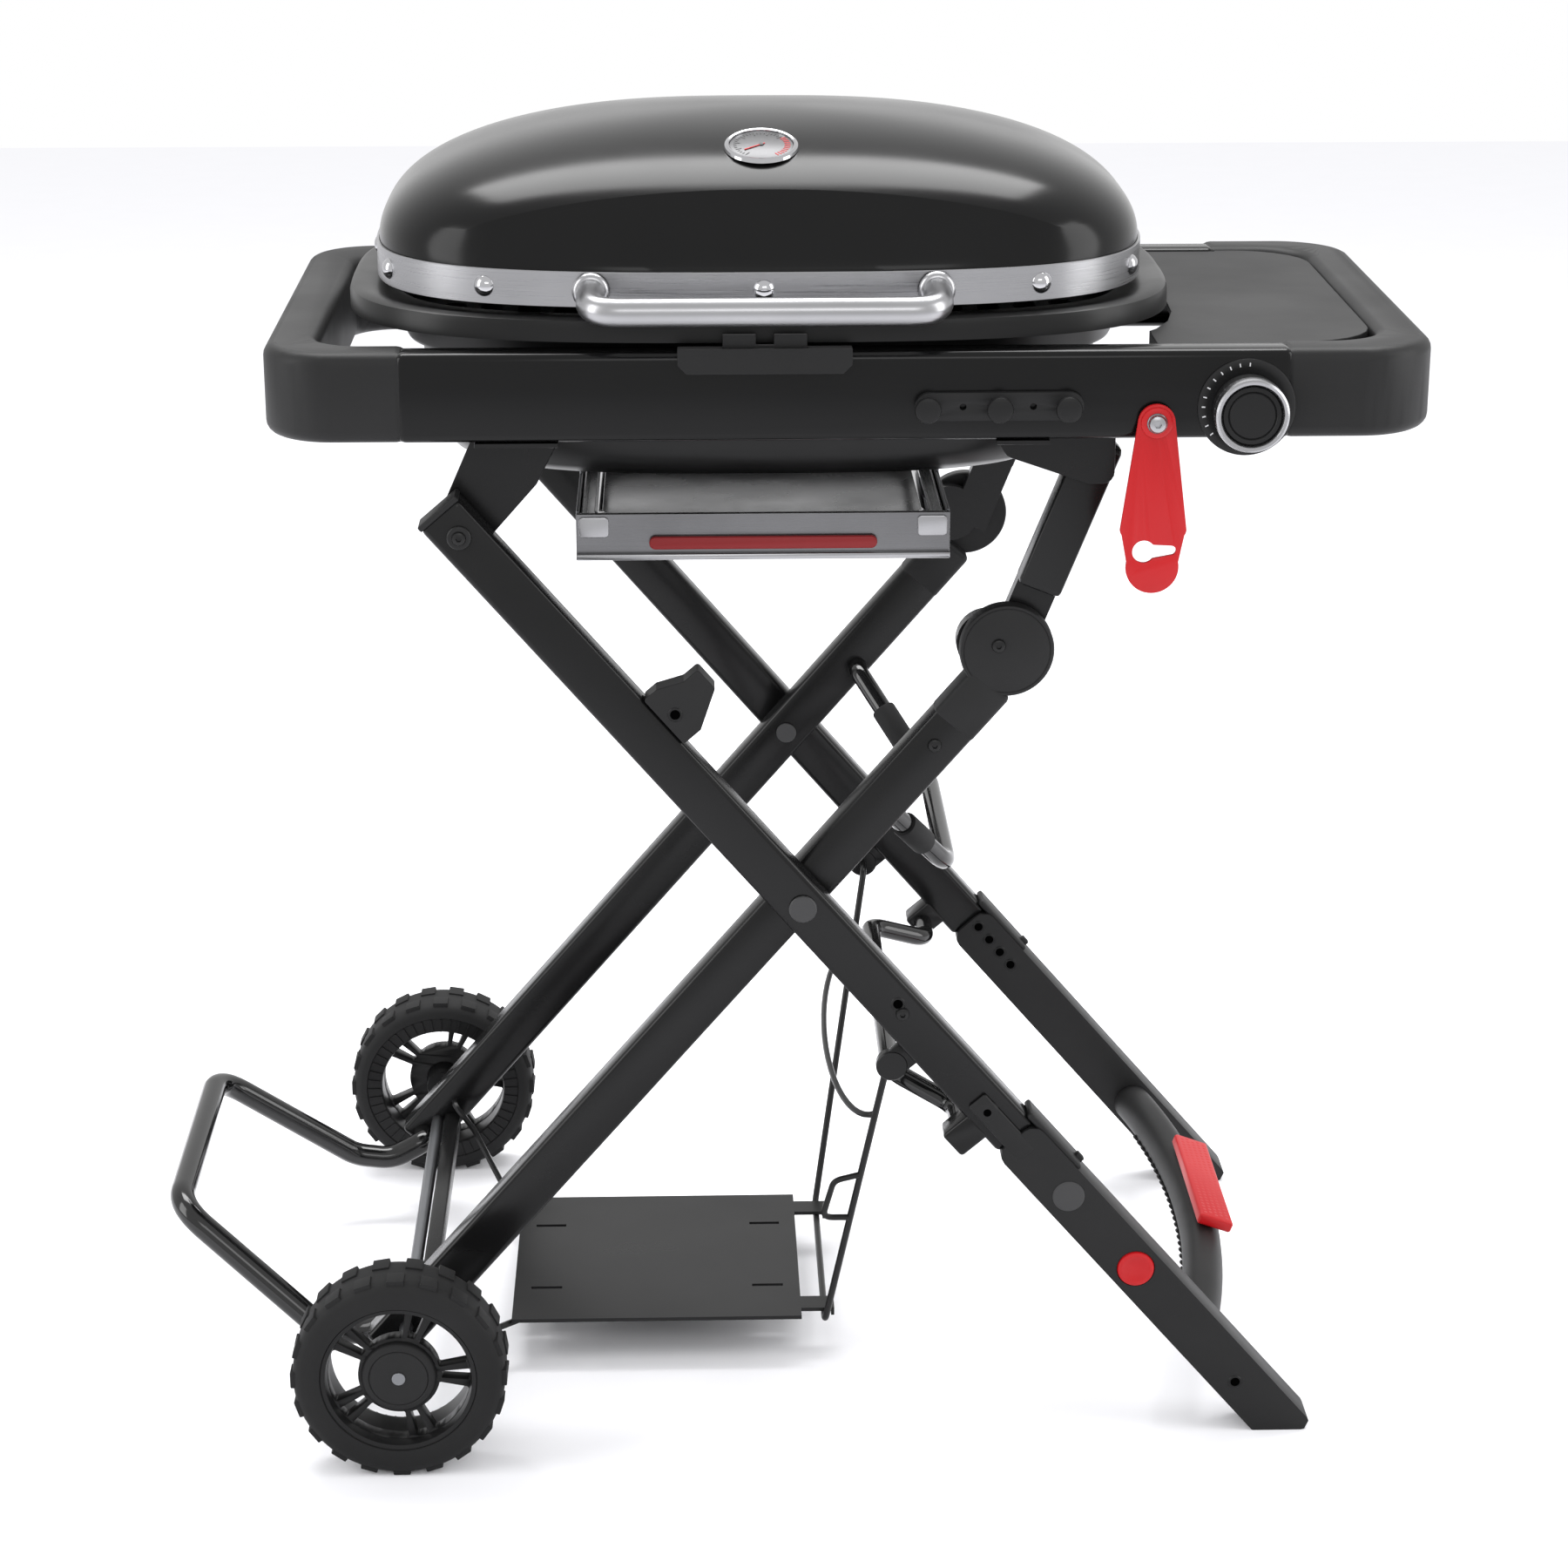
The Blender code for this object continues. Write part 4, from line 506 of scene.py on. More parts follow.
def merged(name, *objs):
    """Several shapes as one mesh, without cutting them into each other."""
    bm = bmesh.new()
    for obj in objs:
        single = baked(obj)
        bm.from_mesh(single.data)
        bpy.data.objects.remove(single, do_unlink=True)
    mesh = bpy.data.meshes.new(name)
    bm.to_mesh(mesh)
    bm.free()
    return new_object(name, mesh)


def settled(obj, body, material, *stands_for):
    """Gives a finished piece its material and its body, and hides the parts that it stands for."""
    obj.data.materials.clear()
    obj.data.materials.append(material)
    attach(obj, body)
    if stands_for:
        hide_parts(*stands_for)
    return obj


body_of_node = {node: body for body,
                names in frame["record"]["behaviour"]["bodies"].items() for node in names}


def refined(node, material, edge=0.0008, segments=2, angle=38):
    """A welded copy of a part, with rounded edges."""
    bm = bmesh.new()
    bm.from_mesh(nodes[node].data)
    bmesh.ops.remove_doubles(bm, verts=bm.verts, dist=0.00002)
    bmesh.ops.dissolve_limit(bm, angle_limit=math.radians(1), verts=bm.verts, edges=bm.edges)
    obj = from_bmesh(node + "_shape", bm, angle)
    if edge:
        soft_edges(obj, edge, segments, angle)
    return settled(obj, body_of_node[node], material, node)


print("shape makers ready")

# %% [markdown]
# ## Plain parts first
# Brackets, legs, rails and links are flat-sided, so their mechanical shapes are already right.
# Each gets a welded copy with small rounded edges, because an edge with no radius catches no
# light and looks like cardboard.

# %% Refine the plain parts
plain = {
    "rear_rail": rail_gloss, "front_rail": rail_gloss,
    "fold_bracket_front": tube_paint, "fold_bracket_rear": tube_paint,
    "link_bracket_front": tube_paint, "link_bracket_rear": tube_paint,
    "link_front": tube_paint, "link_rear": tube_paint,
    "foot_front": moulded, "foot_rear": moulded,
    "cross_channel": tube_paint, "catch_block": moulded,
    "hinge_plate_left": tube_paint, "hinge_plate_right": tube_paint,
    "hinge_arm_left": tube_paint, "hinge_arm_right": tube_paint,
    "left_grate": iron, "right_grate": iron,
    "drip_tray_frame": zinc, "drip_pan": pan_steel,
    "lid_lock_plate": moulded, "lid_lock_slide": moulded,
    "side_table": moulded, "gas_valve": brass, "burner_tube": zinc,
    "valve_stem": zinc, "axle_rod": zinc, "fold_pin_front": wire_paint, "fold_pin_rear": wire_paint,
    "scissor_pin_front": cap_grey, "scissor_pin_rear": cap_grey,
    "lever_bolt": zinc,
}
for node, material in plain.items():
    refined(node, material, 0.0006)
print("plain parts:", len(plain))

# %% [markdown]
# ## A tool for everything that repeats
# Rivets, screws, tread blocks, ticks and ribs are one small shape, set down many times. Geometry
# Nodes does this: it reads a list of points, each with the direction it faces and the direction it
# runs along, and puts a copy of the small shape on each. The copies are made real at the end, and
# the result is turned into an ordinary mesh.


# %% The spreading tree
def spreading_tree():
    tree = bpy.data.node_groups.new("spread_pieces", "GeometryNodeTree")
    for label, kind in (("Geometry", "Geometry"), ("Piece", "Object"), ("Size", "Float"),
                        ("Finish", "Material")):
        tree.interface.new_socket(label, in_out="INPUT", socket_type="NodeSocket" + kind)
    tree.interface.new_socket("Geometry", in_out="OUTPUT", socket_type="NodeSocketGeometry")
    given = tree.nodes.new("NodeGroupInput")
    result = tree.nodes.new("NodeGroupOutput")
    piece = tree.nodes.new("GeometryNodeObjectInfo")
    tree.links.new(given.outputs["Piece"], piece.inputs["Object"])
    turn = None
    for label, axis, about in (("facing", "Z", "AUTO"), ("running", "X", "Z")):
        direction = tree.nodes.new("GeometryNodeInputNamedAttribute")
        direction.data_type = "FLOAT_VECTOR"
        direction.inputs["Name"].default_value = label
        align = tree.nodes.new("FunctionNodeAlignRotationToVector")
        align.axis = axis
        align.pivot_axis = about
        tree.links.new(direction.outputs["Attribute"], align.inputs["Vector"])
        if turn:
            tree.links.new(turn, align.inputs["Rotation"])
        turn = align.outputs["Rotation"]
    copies = tree.nodes.new("GeometryNodeInstanceOnPoints")
    tree.links.new(given.outputs["Geometry"], copies.inputs["Points"])
    tree.links.new(piece.outputs["Geometry"], copies.inputs["Instance"])
    tree.links.new(turn, copies.inputs["Rotation"])
    tree.links.new(given.outputs["Size"], copies.inputs["Scale"])
    real = tree.nodes.new("GeometryNodeRealizeInstances")
    tree.links.new(copies.outputs["Instances"], real.inputs["Geometry"])
    painted = tree.nodes.new("GeometryNodeSetMaterial")
    tree.links.new(real.outputs["Geometry"], painted.inputs["Geometry"])
    tree.links.new(given.outputs["Finish"], painted.inputs["Material"])
    tree.links.new(painted.outputs["Geometry"], result.inputs["Geometry"])
    return tree


spreading = spreading_tree()


def input_of(tree, label):
    return next(s.identifier for s in tree.interface.items_tree if s.name == label and s.in_out == "INPUT")


def spread_pieces(name, piece, places, body, material, size=1.0, keep=False):
    """Copies of a small shape. Each place is (point, facing) or (point, facing, running)."""
    mesh = bpy.data.meshes.new(name)
    mesh.from_pydata([place[0] for place in places], [], [])
    for index, label, usual in ((1, "facing", (0, 0, 1)), (2, "running", (1, 0, 0))):
        layer = mesh.attributes.new(label, "FLOAT_VECTOR", "POINT")
        for item, place in zip(layer.data, places):
            item.vector = place[index] if len(place) > index else usual
    holder = new_object(name + "_places", mesh)
    modifier = holder.modifiers.new("spread", "NODES")
    modifier.node_group = spreading
    modifier[input_of(spreading, "Piece")] = piece
    modifier[input_of(spreading, "Size")] = size
    modifier[input_of(spreading, "Finish")] = material
    bpy.context.view_layer.update()
    graph = bpy.context.evaluated_depsgraph_get()
    made = bpy.data.meshes.new_from_object(holder.evaluated_get(graph))
    holder.modifiers.remove(modifier)
    bpy.data.objects.remove(holder, do_unlink=True)
    if not keep:
        bpy.data.objects.remove(piece, do_unlink=True)
    made.name = name
    obj = new_object(name, made)
    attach(obj, body)
    print(name, len(places))
    return obj


# %% Small shapes used more than once
def button_screw(name="screw", radius=0.0042):
    """A low domed screw head with a hexagonal socket, facing +Z."""
    tall = radius * 0.55
    head = lathe(name, [(0, tall), (radius * 0.55, tall * 0.96), (radius * 0.86, tall * 0.7),
                        (radius, tall * 0.2), (radius, 0), (0, 0)],
                 (0, 0, 0), (0, 0, 1), 24)
    socket = lathe("socket", [(0, tall * 1.5), (radius * 0.42, tall * 1.5), (radius * 0.42, tall * 0.4),
                              (0, tall * 0.4)],
                   (0, 0, 0), (0, 0, 1), 6)
    hollow = head.modifiers.new("socket", "BOOLEAN")
    hollow.object = socket
    hollow.solver = "EXACT"
    result = baked(head)
    bpy.data.objects.remove(socket, do_unlink=True)
    return result


def domed_cap(name, radius, tall, steps=40):
    """A round plug with a rolled edge, facing +Z."""
    return lathe(name, [(0, tall), (radius * 0.8, tall), (radius * 0.95, tall * 0.8), (radius, tall * 0.35),
                        (radius, 0), (0, 0)],
                 (0, 0, 0), (0, 0, 1), steps)


# %% [markdown]
# ## The lid
# The lid is a pressed steel dome with glossy enamel. Seen from above it is a rounded rectangle,
# which a superellipse draws well, and every upright section is the same soft curve. Its front is
# pressed flatter, and the crease where the crown meets that flat panel draws an arch across the
# lid. The rings of the loft are therefore packed so that one ring always lies on the crease.

# %% Lid shape
lid_middle = centre("lid_shell")
lid_half = (high("lid_shell") - low("lid_shell")) / 2
band_low, band_high = low("lid_band").z, high("lid_band").z
lid_top = high("lid_shell").z
PLAN_POWER = 3.2
CROWN_POWER = 2.2
CREASE_SHARE = 0.845
CREASE_REACH = 0.77


def plan_point(angle, half, middle, share=1.0):
    """A point on a rounded rectangle, seen from above."""
    c, s = math.cos(angle), math.sin(angle)
    size = share * (abs(c) ** PLAN_POWER + abs(s) ** PLAN_POWER) ** (-1 / PLAN_POWER)
    return middle.x + half[0] * c * size, middle.y + half[1] * s * size


def plan_normal(x, y, half, middle):
    across, deep = (x - middle.x) / half[0], (y - middle.y) / half[1]
    normal = Vector((math.copysign(abs(across) ** (PLAN_POWER - 1), across) / half[0],
                     math.copysign(abs(deep) ** (PLAN_POWER - 1), deep) / half[1], 0))
    return normal.normalized()


def crown_height(share):
    return band_high + (lid_top - band_high) * max(0.0, 1 - share ** CROWN_POWER) ** (1 / CROWN_POWER)


def lid_rings(points=256, crown=30, panel=9):
    """Rings from the crown's centre to the skirt. The panel rings are straight at the front."""
    angles = [2 * math.pi * step / points for step in range(points)]
    rings = [[] for _ in range(crown + panel + 1)]
    for angle in angles:
        reach = abs(plan_point(angle, lid_half, lid_middle)[0] - lid_middle.x) / (lid_half.x * CREASE_REACH)
        front = math.sin(angle) < 0
        crease = CREASE_SHARE + (0.975 - CREASE_SHARE) * min(1.0, reach) ** 2.3 if front else 0.975
        flat = min(1.0, max(0.0, (1.12 - reach) / 0.25)) if front else 0.0
        edge_height = crown_height(crease)
        for index in range(crown + panel + 1):
            if index <= crown:
                share = crease * math.sin(math.pi / 2 * (0.02 + 0.98 * index / crown))
                height = crown_height(share)
            else:
                step = (index - crown) / panel
                share = crease + (1 - crease) * (1 - (1 - step) ** 2)
                chord = edge_height + (band_high - edge_height) * (share - crease) / (1 - crease)
                height = crown_height(share) + (chord - crown_height(share)) * 0.86 * flat
            rings[index].append((*plan_point(angle, lid_half, lid_middle, share), height))
    for drop in (0.004, 0.020):
        rings.append([(x, y, band_high - drop) for x, y, _ in rings[crown + panel]])
    return rings


lid_shape = loft("lid_dome", lid_rings(), close_first=True)
wall = lid_shape.modifiers.new("sheet", "SOLIDIFY")
wall.thickness = 0.0018
wall.offset = -1
settled(baked(lid_shape, 10), "lid", enamel, "lid_shell")


# %% Steel band and its rivets
def hoop(name, half, middle, levels, points=168):
    """A closed hoop: levels are (outward offset, height) pairs round its section."""
    angles = [2 * math.pi * step / points for step in range(points)]
    rings = [[(*plan_point(a, (half[0] + out, half[1] + out), middle), z) for a in angles] for out,
             z in levels]
    obj = loft(name, rings + rings[:1])
    bm = bmesh.new()
    bm.from_mesh(obj.data)
    bmesh.ops.remove_doubles(bm, verts=bm.verts, dist=0.000001)
    bmesh.ops.recalc_face_normals(bm, faces=bm.faces)
    bpy.data.objects.remove(obj, do_unlink=True)
    return from_bmesh(name, bm)


section = [(0.0003, band_low), (0.0015, band_low), (0.0019, band_low + 0.0005), (0.0019, band_high - 0.0005),
           (0.0015, band_high), (0.0003, band_high)]
settled(hoop("lid_steel_band", lid_half, lid_middle, section), "lid", brushed, "lid_band")

RIVET = 0.0072
rivet = lathe("rivet", [(0, 0.0042), (0.0022, 0.0040), (0.0045, 0.0031), (0.0064, 0.0014), (RIVET, 0),
                        (0, 0)], (0, 0, 0), (0, 0, 1), 32)
rivet_places = []
for x_share, y_share in ((0.0, 1), (0.71, 1), (0.965, 0.56), (0.996, 0.05)):
    for x_side in (-1, 1):
        for y_side in (-1, 1):
            angle = math.atan2(y_side * y_share, x_side * x_share)
            if x_share == 0.71:
                angle = math.atan2(y_side, x_side * 0.785)
            x, y = plan_point(angle, (lid_half.x + 0.0018, lid_half.y + 0.0018), lid_middle)
            normal = plan_normal(x, y, lid_half, lid_middle)
            rivet_places.append((Vector((x, y, (band_low + band_high) / 2)), normal))
rivet_places = rivet_places[:2] + rivet_places[4:]
spread_pieces("band_rivets", rivet, rivet_places, "lid", chrome)

# %% [markdown]
# ## The firebox
# The firebox is a deep enamelled pan. Its wide rim slopes a little and turns down at the edge, and
# the food grates rest on a ledge inside it. One open skin through all these levels, given the
# thickness of the casting, makes the whole pan in one piece.

# %% Firebox
box_middle = centre("firebox")
rim_half = (high("firebox") - low("firebox")) / 2
rim_half = Vector((rim_half.x - 0.0025, rim_half.y - 0.0025))
rim_top = high("firebox").z - 0.0025
pan_floor = low("firebox").z
ledge_z = low("left_grate").z - 0.0035
wall_half = Vector((rim_half.x - 0.0355, rim_half.y - 0.031))


def pan_ring(half, share, z, points=168):
    angles = [2 * math.pi * step / points for step in range(points)]
    return [(*plan_point(a, half, box_middle, share), z) for a in angles]


def shrunk(half, by):
    return (half.x - by, half.y - by)


pan_levels = [
    (rim_half, 1.0, rim_top - 0.0135), (rim_half, 1.0, rim_top - 0.004),
              (shrunk(rim_half, 0.0008), 1.0, rim_top - 0.0012),
    (shrunk(rim_half, 0.003), 1.0, rim_top), (shrunk(rim_half, 0.012), 1.0, rim_top - 0.0008),
    (shrunk(wall_half, -0.012), 1.0, rim_top - 0.001), (shrunk(wall_half, -0.006), 1.0, rim_top - 0.003),
    (shrunk(wall_half, -0.001), 1.0, rim_top - 0.012), (wall_half, 1.0, ledge_z + 0.002),
              (shrunk(wall_half, 0.001), 1.0, ledge_z),
    (shrunk(wall_half, 0.009), 1.0, ledge_z - 0.0008), (shrunk(wall_half, 0.011), 1.0, ledge_z - 0.004),
    (shrunk(wall_half, 0.016), 1.0, pan_floor + 0.040), (shrunk(wall_half, 0.017), 0.985, pan_floor + 0.028),
    (shrunk(wall_half, 0.017), 0.94, pan_floor + 0.017), (shrunk(wall_half, 0.017), 0.86, pan_floor + 0.010),
    (shrunk(wall_half, 0.017), 0.55, pan_floor + 0.005), ((0.045, 0.035), 1.0, pan_floor),
]
pan = loft("firebox_pan", [pan_ring(half, share, z) for half, share, z in pan_levels])
skin = pan.modifiers.new("casting", "SOLIDIFY")
skin.thickness = 0.0025
skin.offset = 1
settled(baked(pan), "table_frame", belly, "firebox")

# %% [markdown]
# ## The thermometer
# A round bimetal gauge is set into the crown, leaning with it. It has a bright bezel, a grey face
# with a ring of ticks, a red sector for the hot end, and a needle. The ticks are spread round the
# face by the tree, and no lettering is needed for a dial to read as a dial.

# %% Thermometer
gauge_box_low, gauge_box_high = low("thermometer"), high("thermometer")
gauge_x, gauge_y = centre("thermometer").x, centre("thermometer").y
gauge_radius = (gauge_box_high.x - gauge_box_low.x) / 2
step_y = 0.004


def crown_at(x, y):
    across, deep = abs(x - lid_middle.x) / lid_half.x, abs(y - lid_middle.y) / lid_half.y
    return crown_height((across ** PLAN_POWER + deep ** PLAN_POWER) ** (1 / PLAN_POWER))


slope = (crown_at(gauge_x, gauge_y + step_y) - crown_at(gauge_x, gauge_y - step_y)) / (2 * step_y)
gauge_up = Vector((0, -slope, 1)).normalized()
gauge_side = Vector((1, 0, 0))
gauge_far = gauge_up.cross(gauge_side)
gauge_seat = Vector((gauge_x, gauge_y, crown_at(gauge_x, gauge_y))) - gauge_up * 0.0005
bezel_profile = [(0, 0.0), (gauge_radius - 0.001, 0.0), (gauge_radius, 0.0008),
                 (gauge_radius - 0.0006, 0.0026),
                 (gauge_radius - 0.0022, 0.0036), (gauge_radius - 0.0034, 0.0033),
                 (gauge_radius - 0.0038, 0.0016), (0, 0.0016)]
settled(lathe("gauge_bezel", bezel_profile, gauge_seat, gauge_up, 96), "lid", chrome, "thermometer")
dial_paint = finish("dial_face", grey(0.09), grey(0.12), (0.35, 0.45), metal=0.6, bump=0.03)
dial_black = finish("dial_marks", grey(0.010), grey(0.014), (0.4, 0.5))
dial_radius = gauge_radius - 0.004
face_profile = [(0, 0.0006), (dial_radius - 0.0005, 0.0006), (dial_radius, 0.0003), (dial_radius, -0.0004),
                (0, -0.0004)]
dial_seat = gauge_seat + gauge_up * 0.0018
settled(lathe("gauge_dial", face_profile, dial_seat, gauge_up, 96), "lid", dial_paint)


def dial_spot(angle, radius, lift):
    return dial_seat + (gauge_side * math.cos(angle) + gauge_far * math.sin(angle)) * radius + gauge_up * lift


def small_block(name, size, edge=0.0):
    """A block that stands on the origin, for the tree to copy."""
    bm = bmesh.new()
    bmesh.ops.create_cube(bm, size=1.0, matrix=Matrix.Translation((0, 0,
                                                                   size[2] / 2)) @ Matrix.Diagonal((*size,
                                                                           1)))
    if edge:
        bmesh.ops.bevel(bm, geom=bm.edges[:], offset=edge, segments=2, profile=0.7, affect="EDGES")
    return from_bmesh(name, bm)


TICKS = 37
first_turn, last_turn = math.radians(235), math.radians(-55)
marks = {"long": [], "short": [], "hot": []}
for index in range(TICKS):
    turn = first_turn + (last_turn - first_turn) * index / (TICKS - 1)
    outward = gauge_side * math.cos(turn) + gauge_far * math.sin(turn)
    kind = "hot" if index > 24 else ("long" if index % 4 == 0 else "short")
    marks[kind].append((dial_spot(turn, dial_radius - (0.0048 if kind == "long" else 0.0036), 0.0006),
                        gauge_up, outward))
spread_pieces("gauge_long_ticks", small_block("tick", (0.0042, 0.0007, 0.0002)), marks["long"], "lid",
              dial_black)
spread_pieces("gauge_short_ticks", small_block("tick", (0.0020, 0.0005, 0.0002)), marks["short"], "lid",
              dial_black)
spread_pieces("gauge_hot_ticks", small_block("tick", (0.0040, 0.0009, 0.0002)), marks["hot"], "lid", red)
needle_turn = math.radians(215)
needle_out = gauge_side * math.cos(needle_turn) + gauge_far * math.sin(needle_turn)
needle_place = [(dial_spot(needle_turn, 0.0055, 0.0009), gauge_up, needle_out)]
spread_pieces("gauge_needle", small_block("needle", (0.017, 0.0009, 0.0004)), needle_place, "lid", red)
settled(lathe("gauge_hub", [(0, 0.0016), (0.0014, 0.0014), (0.0018, 0.0006), (0.0018, 0), (0, 0)], dial_seat,
              gauge_up, 32), "lid", dial_black)

# %% [markdown]
# ## The lid handle
# The handle is one satin steel tube, bent twice so that its ends run back into the band. A route
# with four corners and a generous bend is all it needs; the tube is round because a curve's bevel
# is round.

# %% Lid handle
handle_low, handle_high = low("lid_handle"), high("lid_handle")
handle_radius = 0.0095
bar_y = handle_low.y + handle_radius
bar_z = (handle_low.z + handle_radius + 0.0001)
left_x, right_x = handle_low.x + handle_radius, handle_high.x - handle_radius
back_y, back_z = handle_high.y + 0.001, handle_high.z - handle_radius
route = [(left_x, back_y, back_z), (left_x, bar_y, bar_z), (right_x, bar_y, bar_z), (right_x, back_y, back_z)]
settled(sweep("handle_tube", route, handle_radius, 0.026, 14, 9), "lid", satin, "lid_handle")
ends = [((x, back_y - 0.0005, back_z), (0, -1, 0)) for x in (left_x, right_x)]
flange = lathe("flange", [(0, 0.0035), (0.0098, 0.0035), (0.0118, 0.0020), (0.0125, 0), (0, 0)], (0, 0, 0),
               (0, 0, 1), 40)
spread_pieces("handle_flanges", flange, ends, "lid", satin)

# %% [markdown]
# ## The table
# Each end of the table is a thick plastic bow. Its plan is an outline with two rounded corners,
# cut from plate and given a generous edge, which is how such a moulding feels in the hand.

# %% Table ends
SEAM = 0.0003
END_CORNER = 0.112


def table_end(node, sign):
    tuck = 0.0088
    near = (low(node).x if sign > 0 else -high(node).x) - tuck
    far = high(node).x if sign > 0 else -low(node).x
    front, back = low(node).y, high(node).y
    wide = 0.036

    def bow(inset):
        corner = END_CORNER - inset
        points = [(near, front + inset), (far - inset, front + inset), (far - inset, back - inset),
                  (near, back - inset)]
        return rounded_outline(points, [0, corner, corner, 0], 24)

    outline = [(sign * x, y) for x, y in bow(0) + bow(wide)[::-1]]
    piece = slab(node + "_bow", [outline], low(node).z, high(node).z, "XY", 0.0085, 5, 50)
    settled(baked(piece), "table_frame", moulded, node)


table_end("left_table_end", -1)
table_end("right_table_end", 1)


# %% Tool hooks
def beam(name, place, along, across, depth, edge=0.0042, segments=4):
    """A straight bar with rounded edges, in the directions of a leg or of the world."""
    bm = bmesh.new()
    points = [bm.verts.new(place(a, c, y)) for a in along for c in across for y in depth]
    made = bmesh.ops.convex_hull(bm, input=points)
    bmesh.ops.dissolve_limit(bm, angle_limit=0.02, verts=bm.verts, edges=bm.edges)
    return baked(soft_edges(from_bmesh(name, bm), edge, segments))


def in_world(x, z, y):
    return Vector((x, y, z))


rail_face = low("front_rail").y
hook_low, hook_high = low("hook_rack"), high("hook_rack")
hook_z = centre("hook_rack").z
hook_xs = (hook_low.x + 0.0075, hook_low.x + 0.0555, hook_high.x - 0.0108)
strip = [(hook_low.x, hook_low.z), (hook_high.x, hook_low.z), (hook_high.x, hook_high.z),
         (hook_low.x, hook_high.z)]
holes = [round_hole(((a + b) / 2, hook_z), 0.0023) for a, b in zip(hook_xs, hook_xs[1:])]
bar = slab("hook_bar", [rounded_outline(strip, 0.0094, 10)] + holes, rail_face - 0.0053, rail_face - SEAM,
           "XZ", 0.001)
settled(baked(bar), "table_frame", moulded, "hook_rack")
mushroom = lathe("mushroom", [(0, 0.018), (0.0062, 0.018), (0.0083, 0.0171), (0.0090, 0.0150),
                              (0.0084, 0.0128), (0.0058, 0.0104),
                              (0.0052, 0.0080), (0.0058, 0.0045), (0.0080, 0.0035), (0.0080, 0.0), (0, 0)],
                 (0, 0, 0), (0, 0, 1), 40)
spread_pieces("hook_heads", mushroom, [((x, rail_face - SEAM, hook_z), (0, -1, 0)) for x in hook_xs],
              "table_frame", moulded_smooth)

# %% [markdown]
# ## The knob and the lock lever
# The knob is turned in three bands: a black skirt, a bright ring and a dark face set a little
# below it. A ring of plain marks on the bezel says which way it turns. The lever is a red plate
# with a keyhole, and it hangs from a shoulder bolt with a wide washer.

# %% Knob
knob_back = Vector((centre("control_knob").x, high("control_knob").y, centre("control_knob").z))
toward_front = (0, -1, 0)
skirt = [(0, 0.0205), (0.0205, 0.0205), (0.0228, 0.0190), (0.0236, 0.0150), (0.0240, 0.0020), (0.0234, 0.0),
         (0, 0.0)]
settled(lathe("knob_skirt", skirt, knob_back, toward_front, 96), "knob", moulded_smooth, "control_knob")
ring = [(0.0202, 0.0190), (0.0206, 0.0228), (0.0214, 0.0238), (0.0232, 0.0240), (0.0245, 0.0230),
        (0.0250, 0.0208),
        (0.0248, 0.0150), (0.0236, 0.0140), (0.0202, 0.0190)]
settled(lathe("knob_ring", ring, knob_back, toward_front, 128), "knob", satin)
face = [(0, 0.0225), (0.0150, 0.0222), (0.0158, 0.0214), (0.0166, 0.0222), (0.0192, 0.0218), (0.0201, 0.0206),
        (0.0201, 0.0190), (0, 0.0190)]
settled(lathe("knob_face", face, knob_back, toward_front, 96), "knob", moulded_smooth)
bezel_back = Vector((knob_back.x, high("knob_bezel").y, knob_back.z))
bezel = [(0, 0.0017), (0.0262, 0.0017), (0.0268, 0.0020), (0.0318, 0.0020), (0.0328, 0.0014), (0.0330, 0.0),
         (0, 0.0)]
settled(lathe("bezel_disc", bezel, bezel_back, toward_front, 96), "table_frame", moulded, "knob_bezel")
mark_paint = finish("mark_paint", grey(0.62), grey(0.70), (0.4, 0.5))
bezel_marks = []
for index in range(11):
    turn = math.radians(88 + 13 * index)
    outward = Vector((math.cos(turn), 0, math.sin(turn)))
    spot = bezel_back + outward * 0.0292 + Vector((0, -0.0019, 0))
    bezel_marks.append((spot, toward_front, outward))
spread_pieces("bezel_marks", small_block("mark", (0.0024, 0.0008, 0.0002)), bezel_marks, "table_frame",
              mark_paint)

# %% Lever
lever_pivot = pivot("lever_swing")
lever_low, lever_high = low("lock_lever"), high("lock_lever")
foot_z = lever_low.z + 0.0180
lever_mid = lever_pivot.x


def arc(middle, radius, first, last, steps=16):
    turns = [math.radians(first + (last - first) * step / steps) for step in range(steps + 1)]
    return [(middle[0] + radius * math.cos(a), middle[1] + radius * math.sin(a)) for a in turns]


lever_outline = (arc((lever_mid, lever_pivot.z), lever_high.z - lever_pivot.z, 170, 10)
                 + arc((lever_mid + 0.0165, foot_z + 0.0260), 0.0060, 12, -38, 6)
                 + arc((lever_mid, foot_z), 0.0180, 12, -192, 28)
                 + arc((lever_mid - 0.0165, foot_z + 0.0260), 0.0060, 218, 168, 6))
keyhole = arc((lever_mid - 0.0060, foot_z + 0.0110), 0.0078, 38, 322,
              24) + arc((lever_mid + 0.0125, foot_z + 0.0118), 0.0033, -90, 90, 10)
bolt_hole = round_hole((lever_mid, lever_pivot.z), 0.0040)
plate = slab("lever_plate", [lever_outline, keyhole, bolt_hole], lever_low.y, lever_high.y, "XZ", 0.0008)
settled(baked(plate), "lock_lever", red, "lock_lever")
boss_back = Vector((lever_mid, lever_low.y + 0.0004, lever_pivot.z))
boss = [(0.0042, 0.0), (0.0042, 0.0024), (0.0092, 0.0024), (0.0104, 0.0016), (0.0108, 0.0), (0.0042, 0.0)]
settled(lathe("lever_boss", boss, boss_back, toward_front, 64), "lock_lever", red)
bolt_face = low("lever_bolt").y
spread_pieces("lever_screw", button_screw("screw", 0.0062),
              [((lever_mid, bolt_face + 0.0004, lever_pivot.z), toward_front)], "table_frame", satin)

